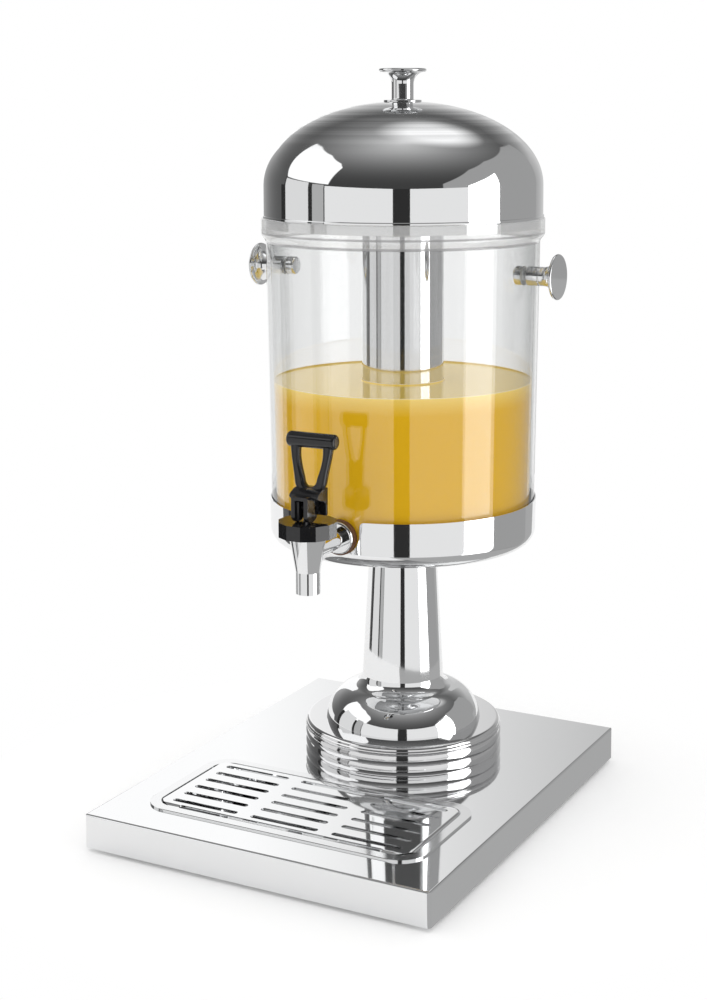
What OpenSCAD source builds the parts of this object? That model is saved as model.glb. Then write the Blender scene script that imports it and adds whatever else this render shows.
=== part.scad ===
// Juice dispenser: a clear tank with an ice tube and a lever tap, held in a
// spun pan on a turned column, over a folded base plate with a drip tray.
// Sizes are in millimetres. X runs right, Y to the back and Z up, and the
// origin is the middle of the base's footprint on the table.

/* [Base plate] */
// Width of the base from side to side
base_w = 280; // [262:1:330]
// Depth of the base from front to back
base_d = 350; // [345:1:400]
// Height of the folded shell
base_h = 25; // [24:0.5:34]
// Thickness of the folded base and the spun column and drum
sheet_t = 1.2; // [1:0.1:1.5]
// Radius of the base's upright corners
base_corner_r = 3; // [2.5:0.5:8]
// Radius of the bend round the base's top
base_edge_r = 1.6; // [1.6:0.1:2.4]
// Width of the lips turned in under the base
base_lip_w = 27; // [27:1:30]
// Distance from the base's front edge to the column's axis
axis_from_front = 241; // [236:1:244]
// Side of the square plate that stiffens the base under the column
stiffener_w = 150; // [120:1:160]
// Thickness of that plate
stiffener_t = 3; // [2:0.5:5]

/* [Feet] */
// Diameter of a rubber foot
foot_d = 16; // [12:0.5:20]
// Height of a foot below the base
foot_h = 3.1; // [2:0.1:6]
// Distance from a foot's middle to the base's edges
foot_inset = 18; // [14:0.5:20]
// Diameter of the foot's neck in the lip
foot_neck_d = 5; // [4:0.5:6]
// Diameter of the bulb that holds the foot above the lip
foot_bulb_d = 7.4; // [6.5:0.1:9]
// Height of the bulb
foot_bulb_h = 3; // [2:0.5:4]

/* [Drip tray] */
// Width of the tray over its flange
tray_w = 227; // [180:1:230]
// Depth of the tray over its flange
tray_d = 111; // [100:1:112]
// Distance from the base's front edge to the flange
tray_from_front = 31; // [30:0.5:34]
// Corner radius of the flange
tray_corner_r = 22; // [18:0.5:30]
// Thickness of the flange
tray_flange_t = 1.3; // [1:0.1:2]
// Width of the flange outside the well
tray_rim_w = 8.1; // [6:0.1:10]
// Thickness of the well's wall
tray_wall = 1; // [0.8:0.1:1.5]
// Width of the ledge that carries the grate
tray_ledge_w = 4; // [3:0.5:6]
// Depth of the ledge below the base's top
tray_ledge_drop = 2.6; // [2:0.1:4]
// Depth of the well below the base's top
tray_depth = 20; // [14:0.5:20.5]
// Gap between the well and the opening in the base
tray_gap = 0.8; // [0.5:0.1:1.5]

/* [Drip grate] */
// Height of the grate above the base's top
grate_rise = 2; // [1.5:0.1:4]
// Thickness of the grate's sheet
grate_t = 1.2; // [1:0.1:1.5]
// Radius of the bend round the grate
grate_edge_r = 3; // [2:0.1:3.5]
// Corner radius of the grate
grate_corner_r = 15; // [14:0.5:20]
// Gap between the grate and the well
grate_gap = 0.65; // [0.4:0.05:1]
// Length of a slot
slot_l = 55.5; // [40:0.5:58]
// Width of a slot
slot_w = 5; // [3:0.5:7]
// Corner radius of a slot as a share of its width
slot_round = 0.48; // [0.2:0.01:0.48]
// Distance between rows of slots
slot_row_pitch = 14.8; // [12:0.1:15]
// Distance between columns of slots
slot_column_pitch = 67; // [62:0.5:67]
// Rows of slots
slot_rows = 6; // [3:1:6]
// Width of the finger notch along the grate's front
notch_w = 168; // [60:1:170]
// How far the finger notch is cut back
notch_cut = 3.4; // [1.5:0.1:3.5]

/* [Drum under the column] */
// Radius of the drum
drum_r = 78.9; // [72:0.1:82]
// Height of the drum
drum_h = 23.2; // [20:0.1:32]
// Radius of the drum's top edge
drum_edge_r = 3; // [2:0.1:5]
// Heights of the drum's grooves above the base
drum_groove_low = 8.6; // [7:0.1:11]
// Height of the upper groove
drum_groove_high = 16.6; // [14:0.1:17]
// Depth of the grooves
drum_groove_cut = 0.7; // [0.4:0.1:0.7]

/* [Column] */
// Height of the column from the drum to its top rim
column_h = 143.7; // [110:0.1:200]
// Radius of the column at its top
column_top_r = 26.5; // [24:0.1:28]
// Radius of the column where it meets the bell
column_low_r = 32.6; // [30:0.1:33]
// Height above the drum where the bell's flare starts
column_low_h = 30.7; // [29:0.1:34]
// Radius of the hollow curve between column and bell
flare_r = 11; // [8:0.5:13]
// Radius of the bell's round shoulder
bell_r = 28.75; // [27:0.05:29]
// Distance from the axis to the middle of that shoulder's curve
bell_offset = 33.5; // [32:0.1:36]
// How far that middle lies below the drum's top
bell_drop = 2.1; // [1:0.1:3]
// Thickness of the flange on the plug that closes the column
head_flange_t = 2; // [1.5:0.1:4]
// Height of the plug in the column
head_plug_h = 10; // [9:0.5:16]
// Gap between the plug and the column
head_gap = 0.2; // [0.1:0.05:0.4]
// Diameter of the rod that ties column, drum and base together
rod_d = 10; // [8:1:12]
// Gap round the rod in the sheet
rod_gap = 0.4; // [0.2:0.1:1]
// Distance from the rod's top end to the plug's top
rod_end_drop = 1; // [0.5:0.1:2]
// Diameter of the washer on the rod
rod_washer_d = 26; // [22:1:34]
// Thickness of that washer
rod_washer_t = 2; // [1.5:0.1:3]
// Width of the nut on the rod over its flats
rod_nut_w = 17; // [16:0.5:19]
// Height of that nut
rod_nut_h = 8; // [6:0.5:9]
// Length of rod below the nut
rod_end = 1.5; // [1:0.5:3]

/* [Bottom pan] */
// Height of the pan
pan_h = 36; // [32:0.5:50]
// Thickness of the pan's sheet
pan_wall = 1; // [0.8:0.1:1.4]
// Radius of the pan's bottom corner
pan_corner_r = 12; // [9:0.5:13]
// Gap between the tank and the pan
pan_gap = 0.4; // [0.35:0.05:1]
// Half width of the pan's notch for the tap
pan_notch_r = 16; // [15:0.1:19]
// Height of the middle of the notch's round bottom above the pan's floor
pan_notch_h = 25; // [24:0.1:28]
// Radius of the notch's top corners
pan_notch_corner_r = 4; // [2:0.5:6]
// Outer radius of the soft ring that the tank stands on
seat_r = 93; // [85:0.5:94]
// Width of that ring
seat_w = 9; // [6:0.5:12]
// Height of that ring
seat_h = 6.2; // [6:0.1:9]
// Radius of the circle of screws in the pan
pan_screw_circle_r = 18; // [16.5:0.1:19]
// Diameter of a pan screw
pan_screw_d = 5; // [4:0.5:6]
// Diameter of its head
pan_screw_head_d = 9; // [8:0.5:10]
// Height of its head
pan_screw_head_h = 2; // [1.5:0.1:3]
// Length of screw in the plug
pan_screw_l = 8; // [6:0.5:9]
// Gap round the screws in the pan
pan_screw_gap = 0.3; // [0.2:0.1:0.5]

/* [Tank] */
// Height of the tank
tank_h = 250.8; // [230:0.1:300]
// Outer radius of the tank at its bottom
tank_bottom_r = 104.3; // [103:0.1:105.5]
// How much wider the tank's radius is under its shoulder than at its bottom
tank_flare = 3.9; // [3.2:0.1:4.4]
// Thickness of the tank's wall
tank_wall = 3.5; // [3:0.1:4]
// Thickness of the tank's floor
tank_floor_t = 4; // [3:0.1:5]
// Radius of the tank's bottom corner outside
tank_corner_r = 4; // [2:0.5:6]
// How far the rim stands out of the wall under it
rim_out = 3.8; // [3.4:0.1:4.4]
// Height of the rim
rim_h = 11.5; // [9:0.1:14]
// Height of the sloping shoulder under the rim
shoulder_h = 7.3; // [6:0.1:11]
// Depth of the juice in the tank
juice_h = 118.4; // [60:0.1:160]
// Gap kept round the juice
juice_gap = 0.3; // [0.2:0.05:0.6]
// Gap between the tank's wall and the washers that follow it
washer_gap = 0.05; // [0.02:0.01:0.1]

/* [Ice tube] */
// Radius of the ice tube
ice_r = 32.4; // [26:0.1:36]
// Thickness of the ice tube
ice_wall = 1; // [0.8:0.1:1.4]
// Distance from the tube's rim to the tank's rim
ice_drop = 3; // [2:0.5:20]
// Radius of the rolled rim
ice_bead_r = 1.6; // [1.3:0.1:2.4]
// Radius of the tube's bottom corner
ice_corner_r = 3; // [2:0.5:6]
// Diameter of the stud under the tube
ice_stud_d = 12; // [10:0.5:12]
// Gap round the stud in the tank's floor
ice_stud_gap = 0.2; // [0.1:0.05:0.4]
// Radius of the gasket under the tube
ice_gasket_r = 20; // [14:0.5:22]
// Thickness of that gasket
ice_gasket_t = 1.5; // [1:0.1:2.5]
// Radius of the washer below the floor
ice_washer_r = 12; // [11:0.1:13]
// Thickness of that washer
ice_washer_t = 1; // [0.6:0.1:1.2]
// Width of the stud's nut over its flats
ice_nut_w = 17; // [16:0.1:18]
// Height of the stud's nut
ice_nut_h = 4; // [3:0.1:4.4]

/* [Lid] */
// How far the lid's wall stands back from the rim's outer face
lid_inset = 1.6; // [1:0.1:1.8]
// Height of the lid's straight wall
lid_wall_h = 25; // [16:0.5:30]
// Height of the domed part above it
dome_h = 66; // [50:0.5:90]
// Thickness of the lid's sheet
lid_t = 1; // [0.8:0.1:1.3]
// How square the dome's curve is, where 2 is a plain ellipse
dome_power = 2.05; // [2:0.05:2.4]
// How far the bead stands out of the lid's wall
lid_bead_out = 0.7; // [0.5:0.1:0.9]
// Height of the bead
lid_bead_h = 2.4; // [2:0.1:4]
// Gap between the lid's skirt and the rim
skirt_gap = 0.6; // [0.4:0.05:1.2]
// Depth of the skirt inside the rim
skirt_h = 7.5; // [5:0.5:10]

/* [Lid knob] */
// Radius of the knob's foot
knob_foot_r = 15; // [12:0.1:18]
// Thickness of the knob's foot
knob_foot_t = 2; // [1.5:0.1:3]
// Radius of the knob's stem
knob_stem_r = 8.7; // [7:0.1:9.5]
// Height of the knob above the dome
knob_h = 25.5; // [23:0.5:36]
// Radius of the knob's top
knob_top_r = 18.8; // [16:0.1:20]
// Thickness of the rim round the knob's top
knob_rim_t = 2.6; // [2:0.1:4]
// Radius of the hollow curve under the knob's top
knob_flare_r = 9.5; // [8:0.1:9.8]
// Diameter of the screw in the knob
knob_screw_d = 5; // [4:0.5:6]
// Length of screw in the knob
knob_screw_l = 12; // [10:0.5:16]
// Gap round the screw in the dome
knob_screw_gap = 0.2; // [0.1:0.05:0.4]
// Diameter of the screw's head
knob_screw_head_d = 9; // [8:0.5:10]
// Height of the screw's head
knob_screw_head_h = 3; // [2:0.5:4]
// Radius of the washer under the head
knob_washer_r = 8; // [6:0.5:10]
// Thickness of that washer
knob_washer_t = 1.2; // [1:0.1:2]

/* [Side handles] */
// Height of the handles above the tank's bottom
handle_h = 208.5; // [150:0.5:213]
// Radius of a handle's neck
handle_neck_r = 7.4; // [6.5:0.1:9]
// Length of a handle from the tank's wall to its outer face
handle_len = 24.5; // [20:0.1:32]
// Radius of a handle's outer disc
handle_disc_r = 17.6; // [15:0.1:20]
// Thickness of the disc's rim
handle_disc_t = 2.3; // [1.5:0.1:3.5]
// Radius of the hollow curve behind the disc
handle_flare_r = 9.6; // [8:0.1:10]
// Radius of the groove round the neck
handle_groove_r = 0.8; // [0.5:0.1:1.2]
// Distance from the neck's inner end to that groove
handle_groove_h = 9.5; // [6:0.1:11]
// Diameter of the stud through the tank's wall
handle_stud_d = 8; // [6:0.5:9]
// Gap round the stud in the wall
handle_stud_gap = 0.2; // [0.1:0.05:0.4]
// Thickness of the gasket inside the wall
handle_gasket_t = 1.2; // [1:0.1:2]
// Length of the round nut inside the tank
handle_nut_h = 6.5; // [5:0.1:10]
// Radius of the round nut
handle_nut_r = 7.4; // [6.5:0.1:9]
// Radius of the nut's domed end edge
handle_nut_edge_r = 2; // [1:0.1:3]
// Depth of the stud in the nut
handle_nut_bore = 4.5; // [3.5:0.1:4.8]

/* [Tap body] */
// Distance from the tank's axis to the tap's axis
tap_reach = 154.5; // [151:0.5:160]
// Height of the tap's shank above the tank's bottom
tap_h = 16.3; // [16:0.1:18]
// How far the spout reaches below the shank's middle
spout_drop = 30.5; // [24:0.1:36]
// Outer radius of the spout
spout_r = 9.05; // [8.5:0.05:9.5]
// Radius of the spout's bore
spout_bore_r = 6; // [5:0.1:6.2]
// Distance from the shank's middle down to the top of the spout
cone_drop = 14.5; // [13:0.1:16]
// Distance from the shank's middle down to the seal's seat
valve_seat_drop = 11.5; // [11:0.1:12]
// Distance from the shank's middle up to the collar
collar_rise = 12; // [11:0.1:14]
// Outer radius of the body under the collar
cone_top_r = 13.8; // [13.4:0.1:15]
// Radius of the chamber at the seat
chamber_low_r = 7.9; // [7.7:0.05:8]
// Radius of the chamber at its top
chamber_top_r = 11; // [10.5:0.1:11.5]
// Radius of the threaded neck inside the collar
tap_neck_r = 13.2; // [13:0.1:13.3]
// Height of the collar
collar_h = 10.8; // [9:0.1:13]
// Radius of the collar over its corners
collar_r = 21.8; // [20:0.1:23]
// Thickness of the collar's top
collar_top_t = 2; // [1.6:0.1:3]
// Sides of the collar
collar_sides = 12; // [8:1:12]
// Radius of the shank between tap and tank
shank_r = 7.5; // [7.2:0.05:8]
// Radius of the shank's thread through the tank's wall
thread_r = 6.5; // [6:0.05:6.8]
// Radius of the bore through the shank
shank_bore_r = 4; // [3:0.1:4.2]
// Gap round the thread in the tank's wall
thread_gap = 0.2; // [0.1:0.05:0.4]
// Radius of the domed ring in front of the tank
ring_r = 12.4; // [11.5:0.1:13]
// Thickness of that ring
ring_t = 2.6; // [2:0.1:3.5]
// Radius of that ring's rounded front edge
ring_edge_r = 1.8; // [1:0.1:1.9]
// Radius of the gasket behind the ring
gasket_r = 13.5; // [12.6:0.1:14]
// Thickness of that gasket
gasket_t = 3.2; // [2.6:0.1:4]
// Radius of the washer inside the tank
inner_washer_r = 11; // [10:0.1:11.2]
// Thickness of that washer
inner_washer_t = 2.6; // [2.2:0.1:3.5]
// Width of the lock nut over its flats
lock_nut_w = 19; // [18:0.1:19.5]
// Thickness of the lock nut
lock_nut_t = 6; // [4:0.1:8]
// Length of thread past the lock nut
thread_end = 1.5; // [1:0.1:3]

/* [Tap stem and spring] */
// Diameter of the stem
stem_d = 6; // [5:0.1:6]
// Gap round the stem in the collar
stem_gap = 0.3; // [0.3:0.05:0.5]
// Length of stem above the lever's pin
stem_above_pin = 4; // [3:0.1:4]
// Radius of the rubber seal
seal_r = 7.2; // [7:0.05:7.4]
// Thickness of the rubber seal
seal_t = 3.5; // [2.5:0.1:4]
// Radius of the stem's flange
stem_flange_r = 7; // [6.8:0.05:7.1]
// Thickness of the stem's flange
stem_flange_t = 2; // [1.5:0.1:3]
// Gap left at the spring's ends
spring_gap = 0.15; // [0.1:0.05:0.3]
// Mean radius of the spring's coil
spring_r = 5.6; // [5.2:0.05:6]
// Diameter of the spring's wire
spring_wire_d = 1.2; // [1:0.1:1.4]
// Turns of the spring
spring_turns = 7; // [5:1:9]

/* [Tap lever] */
// Radius of the lobe that lifts the stem
lobe_r = 9.5; // [9:0.1:10]
// Distance from the pin to the lobe's middle
lobe_offset = 5; // [4:0.1:5]
// Gap between the lobe and the collar at rest
lobe_gap = 0.2; // [0.15:0.05:0.4]
// Width of the fork
fork_w = 13.5; // [12.5:0.1:15]
// Distance from the pin to the fork's flat front
fork_front = 12.6; // [11:0.1:13]
// Height of the fork above the pin
fork_rise = 10; // [9:0.1:12]
// Width of the slot for the stem
fork_slot_w = 7; // [6.8:0.1:7.4]
// Height of the slot above the pin
fork_slot_rise = 7; // [6:0.1:7.5]
// Distance from the pin back to the slot's end
fork_slot_back = 6; // [5.6:0.1:6.5]
// Width of the yoke behind the fork
yoke_w = 23.5; // [20:0.1:25]
// Distance from the pin to the yoke's back
yoke_back = 9.6; // [8.5:0.1:10.5]
// How far the yoke reaches below the pin
yoke_drop = 6.5; // [5:0.1:7]
// Height of the lever's waist above the pin
waist_rise = 15; // [14:0.1:17]
// Height of the lever's top bar above the pin
bar_rise = 48; // [42:0.1:56]
// How far the top bar lies behind the pin
bar_back = 8; // [6:0.1:9]
// Radius of the top bar
bar_r = 5.7; // [5:0.1:6.5]
// Length of the top bar
bar_l = 40; // [36:0.5:46]
// Radius of the round edges of the bar's ends
bar_edge_r = 2.4; // [1.5:0.1:2.5]
// Width of the loop under the bar
loop_w = 34; // [30:0.1:36]
// Depth of the loop's arms
arm_d = 7.8; // [6:0.1:9]
// Radius of the round top of the loop's hole
hole_r = 9.7; // [8:0.05:10]
// Height of the middle of that round above the pin
hole_rise = 32.3; // [30:0.05:33]
// Radius of the hole's narrow lower end
hole_low_r = 5.5; // [4:0.1:6]
// Height of the middle of that lower end above the pin
hole_low_rise = 20; // [19.5:0.1:22]
// Diameter of the lever's pin
pin_d = 3; // [2.5:0.1:3]
// Running gap between pin and stem
pin_gap = 0.05; // [0.03:0.01:0.08]

/* [Hidden] */
// Smoothness of the round parts, and of the tank's walls
$fn = 96;
wall_fn = 360;
// Steps in the dome's curve and in the column's arcs
dome_steps = 26;
arc_steps = 12;
// Rings in each turn of the spring and sides of its wire
spring_rings = 12;
spring_sides = 6;
// A small length by which cuts pass through what they cut
cut = base_w / 280;

// Heights of the main parts above the table
plate_top = foot_h + base_h;
drum_top = plate_top + drum_h;
column_top = drum_top + column_h;
pan_low = column_top + head_flange_t;
pan_floor = pan_low + pan_wall;
tank_low = pan_floor + seat_h;
tank_floor = tank_low + tank_floor_t;
tank_top = tank_low + tank_h;
shoulder_top = tank_top - rim_h;
shoulder_low = shoulder_top - shoulder_h;
axis_y = axis_from_front - base_d / 2;

// The radii that follow the tank's: under its shoulder, its rim and the lid
tank_top_r = tank_bottom_r + tank_flare;
rim_r = tank_top_r + rim_out;
lid_r = rim_r - lid_inset;

// The tank's wall leans out at a steady rate
tank_draft = (tank_top_r - tank_bottom_r) / (shoulder_low - tank_low);
function tank_r(z) = tank_bottom_r + tank_draft * (z - tank_low);

// The drip tray's middle and the half sizes of its well
tray_y = tray_from_front + tray_d / 2 - base_d / 2;
well_w = tray_w - tray_rim_w - tray_rim_w;
well_d = tray_d - tray_rim_w - tray_rim_w;
well_corner_r = tray_corner_r - tray_rim_w;
ledge_z = plate_top - tray_ledge_drop;
well_low = plate_top - tray_depth;

// The ice tube's heights
ice_low = tank_floor + ice_gasket_t;
ice_top = tank_top - ice_drop;
ice_washer_low = tank_low - ice_washer_t;
ice_nut_low = ice_washer_low - ice_nut_h;

// The lid's heights
dome_low = tank_top + lid_wall_h;
dome_top = dome_low + dome_h;
knob_top = dome_top + knob_h;
skirt_r = rim_r - tank_wall - skirt_gap;

// The tap's heights and places
shank_z = tank_low + tap_h;
tap_y = axis_y - tap_reach;
spout_low = shank_z - spout_drop;
cone_low = shank_z - cone_drop;
valve_seat = shank_z - valve_seat_drop;
collar_low = shank_z + collar_rise;
collar_top = collar_low + collar_h;
chamber_top = collar_top - collar_top_t;
pin_z = collar_top + lobe_gap + lobe_r;
stem_flange_low = valve_seat + seal_t;
spring_low = stem_flange_low + stem_flange_t + spring_gap;
spring_high = chamber_top - spring_gap;
wall_out = tank_r(shank_z);
wall_in = wall_out - tank_wall;
ring_in = wall_out + gasket_t;
ring_out = ring_in + ring_t;
washer_in = wall_in - inner_washer_t;
nut_in = washer_in - lock_nut_t;
thread_in = nut_in - thread_end;

// The side handles' height, wall and reach from the tank's axis
handle_z = tank_low + handle_h;
handle_out = tank_r(handle_z);
handle_in = handle_out - tank_wall;
handle_reach = handle_out + handle_len;

// The lever's lean, and the S-shaped front of its yoke as shares of lobe_r
lever_lean = bar_back / bar_rise;
yoke_y_shares = [0.74, 0.74, 0.62, 0.35, -0.05, -0.45, -0.68, -0.74, -0.68, -0.5, -0.2, 0.06];
yoke_z_shares = [-0.7, 0.05, 0.26, 0.45, 0.57, 0.67, 0.78, 0.92, 1.06, 1.18, 1.32, 1.5];

// A rectangle with round corners, centred
module round_rect(w, d, r) {
  square([w - 2 * r, d], center = true);
  square([w, d - 2 * r], center = true);
  for (x = [-1, 1], y = [-1, 1])
    translate([x * (w / 2 - r), y * (d / 2 - r)]) circle(r);
}

// A rectangle standing on its lower side with its top corners rounded
module arch_rect(w, h, r) {
  translate([-w / 2, 0]) square([w, h - r]);
  translate([r - w / 2, 0]) square([w - 2 * r, h]);
  for (x = [-1, 1]) translate([x * (w / 2 - r), h - r]) circle(r);
}

// A block with round upright corners
module plan_block(w, d, h, r) {
  linear_extrude(h) round_rect(w, d, r);
}

// A block with round upright corners and a rounded top edge
module soft_block(w, d, h, corner_r, edge_r) {
  intersection() {
    plan_block(w, d, h, corner_r);
    rotate([90, 0, 0]) linear_extrude(d + cut, center = true) arch_rect(w, h, edge_r);
    rotate([90, 0, 90]) linear_extrude(w + cut, center = true) arch_rect(d, h, edge_r);
  }
}

// A disc with an optional bore, standing at height z
module disc(r, z, h, bore = 0) {
  translate([0, 0, z]) difference() {
    cylinder(r = r, h = h);
    if (bore > 0) translate([0, 0, -cut]) cylinder(r = bore, h = h + 2 * cut);
  }
}

// A six-sided nut with a bore, standing at height z
module hex_nut(w, z, h, bore) {
  translate([0, 0, z]) difference() {
    cylinder(r = w / sqrt(3), h = h, $fn = 6);
    translate([0, 0, -cut]) cylinder(r = bore, h = h + 2 * cut);
  }
}

// Places a part on the tank's axis, or on the tap's
module on_axis() translate([0, axis_y, 0]) children();
module on_tap() translate([0, tap_y, 0]) children();

// Points a part drawn along Z out of the tank's front at the shank's height
module along_shank() {
  translate([0, axis_y, shank_z]) rotate([90, 0, 0]) children();
}

// Points a part drawn along Z out of the tank's side, where side is -1 or 1
module along_handle(side) {
  translate([0, axis_y, handle_z]) rotate([0, side * 90, 0]) children();
}

// The folded shell with its turned-in lips and its openings
module base_plate() {
  color([0.82, 0.83, 0.84]) difference() {
    translate([0, 0, foot_h]) difference() {
      soft_block(base_w, base_d, base_h, base_corner_r, base_edge_r);
      translate([0, 0, sheet_t])
        soft_block(base_w - 2 * sheet_t, base_d - 2 * sheet_t, base_h - 2 * sheet_t,
          base_corner_r - sheet_t, base_edge_r - sheet_t);
      translate([0, 0, -cut]) linear_extrude(sheet_t + 2 * cut)
        square([base_w - 2 * base_lip_w, base_d - 2 * base_lip_w], center = true);
    }
    translate([0, tray_y, plate_top - 2 * sheet_t])
      plan_block(well_w + 2 * tray_wall + 2 * tray_gap, well_d + 2 * tray_wall + 2 * tray_gap,
        3 * sheet_t, well_corner_r + tray_wall + tray_gap);
    on_axis() disc(rod_d / 2 + rod_gap, plate_top - 2 * sheet_t, 3 * sheet_t);
    for (x = [-1, 1], y = [-1, 1])
      translate([x * (base_w / 2 - foot_inset), y * (base_d / 2 - foot_inset), 0])
        disc(foot_neck_d / 2, foot_h - cut, sheet_t + 2 * cut);
  }
}

// The plate that stiffens the base under the column
module base_stiffener() {
  color([0.6, 0.6, 0.62]) on_axis() difference() {
    translate([-stiffener_w / 2, -stiffener_w / 2, plate_top - sheet_t - stiffener_t])
      cube([stiffener_w, stiffener_w, stiffener_t]);
    disc(rod_d / 2 + rod_gap, plate_top - sheet_t - stiffener_t - cut, stiffener_t + 2 * cut);
  }
}

// A push-in rubber foot, where x and y are -1 or 1
module foot(x, y) {
  color([0.06, 0.06, 0.06])
    translate([x * (base_w / 2 - foot_inset), y * (base_d / 2 - foot_inset), 0]) {
      cylinder(d = foot_d, h = foot_h);
      cylinder(d = foot_neck_d, h = foot_h + sheet_t + foot_bulb_h / 2);
      translate([0, 0, foot_h + sheet_t])
        cylinder(d1 = foot_bulb_d, d2 = foot_neck_d, h = foot_bulb_h);
    }
}
module foot_front_left() foot(-1, -1);
module foot_front_right() foot(1, -1);
module foot_back_left() foot(-1, 1);
module foot_back_right() foot(1, 1);

// The pressed tray with a flange on the base and a ledge for the grate
module drip_tray() {
  pan_w = well_w - 2 * tray_ledge_w;
  pan_d = well_d - 2 * tray_ledge_w;
  pan_r = well_corner_r - tray_ledge_w;
  color([0.8, 0.81, 0.82]) translate([0, tray_y, 0]) difference() {
    union() {
      translate([0, 0, plate_top])
        soft_block(tray_w, tray_d, tray_flange_t, tray_corner_r, tray_flange_t / 2);
      translate([0, 0, ledge_z - tray_wall])
        plan_block(well_w + 2 * tray_wall, well_d + 2 * tray_wall,
          plate_top - ledge_z + tray_wall, well_corner_r + tray_wall);
      translate([0, 0, well_low])
        plan_block(pan_w + 2 * tray_wall, pan_d + 2 * tray_wall,
          ledge_z - well_low, pan_r + tray_wall);
    }
    translate([0, 0, ledge_z])
      plan_block(well_w, well_d, plate_top - ledge_z + tray_flange_t + cut, well_corner_r);
    translate([0, 0, well_low + tray_wall])
      plan_block(pan_w, pan_d, ledge_z - well_low, pan_r);
  }
}

// The slotted grate with its turned-down edge
module drip_grate() {
  grate_w = well_w - 2 * grate_gap;
  grate_d = well_d - 2 * grate_gap;
  grate_h = grate_rise + tray_ledge_drop;
  color([0.8, 0.81, 0.82]) translate([0, tray_y, ledge_z]) difference() {
    soft_block(grate_w, grate_d, grate_h, grate_corner_r, grate_edge_r);
    translate([0, 0, -grate_t])
      soft_block(grate_w - 2 * grate_t, grate_d - 2 * grate_t, grate_h,
        grate_corner_r - grate_t, grate_edge_r - grate_t);
    for (i = [0:slot_rows - 1], j = [-1:1])
      translate([j * slot_column_pitch, (i - (slot_rows - 1) / 2) * slot_row_pitch, -cut])
        plan_block(slot_l, slot_w, grate_h + 2 * cut, slot_round * slot_w);
    translate([0, -grate_d / 2, -cut])
      plan_block(notch_w, 2 * notch_cut, grate_h + 2 * cut, notch_cut / 2);
  }
}

// Half the outline of a spun cap with a rounded top edge
module cap_half(r, h, edge_r) {
  square([r, h - edge_r]);
  square([r - edge_r, h]);
  translate([r - edge_r, h - edge_r]) intersection() {
    circle(edge_r);
    square(edge_r);
  }
}

// The spun drum with two grooves
module riser_drum() {
  color([0.78, 0.79, 0.8]) on_axis() translate([0, 0, plate_top]) rotate_extrude()
    difference() {
      cap_half(drum_r, drum_h, drum_edge_r);
      translate([0, -cut])
        cap_half(drum_r - sheet_t, drum_h - sheet_t + cut, drum_edge_r - sheet_t);
      translate([0, drum_h - 2 * sheet_t]) square([rod_d / 2 + rod_gap, 3 * sheet_t]);
      for (z = [drum_groove_low, drum_groove_high])
        translate([drum_r, z]) circle(drum_groove_cut);
    }
}

// Points on an arc between two angles
function arc(middle, r, from, to) = [for (i = [0:arc_steps])
  let (a = from + (to - from) * i / arc_steps) middle + r * [cos(a), sin(a)]];

// The column's outline from foot to top, lying t inside its outer face: the
// bell's shoulder, a hollow curve and the tapered tube, which meet smoothly
function column_line(t) =
  let (
    lean = atan((column_low_r - column_top_r) / (column_h - column_low_h)),
    up = [-sin(lean), cos(lean)],
    out = [cos(lean), sin(lean)],
    bell = [bell_offset, -bell_drop],
    w = [column_low_r, column_low_h] + flare_r * out - bell,
    slide = sqrt(pow(w * up, 2) - w * w + pow(bell_r + flare_r, 2)) - w * up,
    flare = bell + w + slide * up,
    meet = atan2(flare[1] - bell[1], flare[0] - bell[0])
  )
  concat(
    arc(bell, bell_r - t, asin(bell_drop / (bell_r - t)), meet),
    arc(flare, flare_r + t, meet + 180, lean + 180),
    [[column_top_r - t / cos(lean), column_h]]
  );

// The spun column with its bell foot
module column() {
  outer = column_line(0);
  inner = column_line(sheet_t);
  last = len(inner) - 1;
  color([0.78, 0.79, 0.8]) on_axis() translate([0, 0, drum_top]) rotate_extrude()
    polygon(concat(outer, [for (i = [0:last]) inner[last - i]]));
}

// The plug that closes the column and takes the rod and the pan's screws
module column_head() {
  color([0.6, 0.6, 0.62]) on_axis() difference() {
    union() {
      disc(column_top_r, column_top, head_flange_t);
      disc(column_top_r - sheet_t - head_gap, column_top - head_plug_h,
        head_plug_h + head_flange_t);
    }
    disc(rod_d / 2, column_top - head_plug_h - cut, head_plug_h + head_flange_t + 2 * cut);
    pan_screw_places() disc(pan_screw_d / 2, pan_low - pan_screw_l, pan_screw_l + cut);
  }
}

// The rod, washer and nut that clamp the stack to the base
module tie_rod() {
  rod_low = plate_top - sheet_t - stiffener_t - rod_washer_t - rod_nut_h - rod_end;
  color([0.7, 0.7, 0.72]) on_axis()
    disc(rod_d / 2, rod_low, pan_low - rod_end_drop - rod_low);
}
module tie_rod_washer() {
  color([0.7, 0.7, 0.72]) on_axis()
    disc(rod_washer_d / 2, plate_top - sheet_t - stiffener_t - rod_washer_t,
      rod_washer_t, rod_d / 2 + rod_gap);
}
module tie_rod_nut() {
  color([0.7, 0.7, 0.72]) on_axis()
    hex_nut(rod_nut_w, plate_top - sheet_t - stiffener_t - rod_washer_t - rod_nut_h,
      rod_nut_h, rod_d / 2);
}

// The three places of the pan's screws
module pan_screw_places() {
  for (i = [0:2]) rotate([0, 0, 90 + 120 * i]) translate([pan_screw_circle_r, 0, 0]) children();
}

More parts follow.
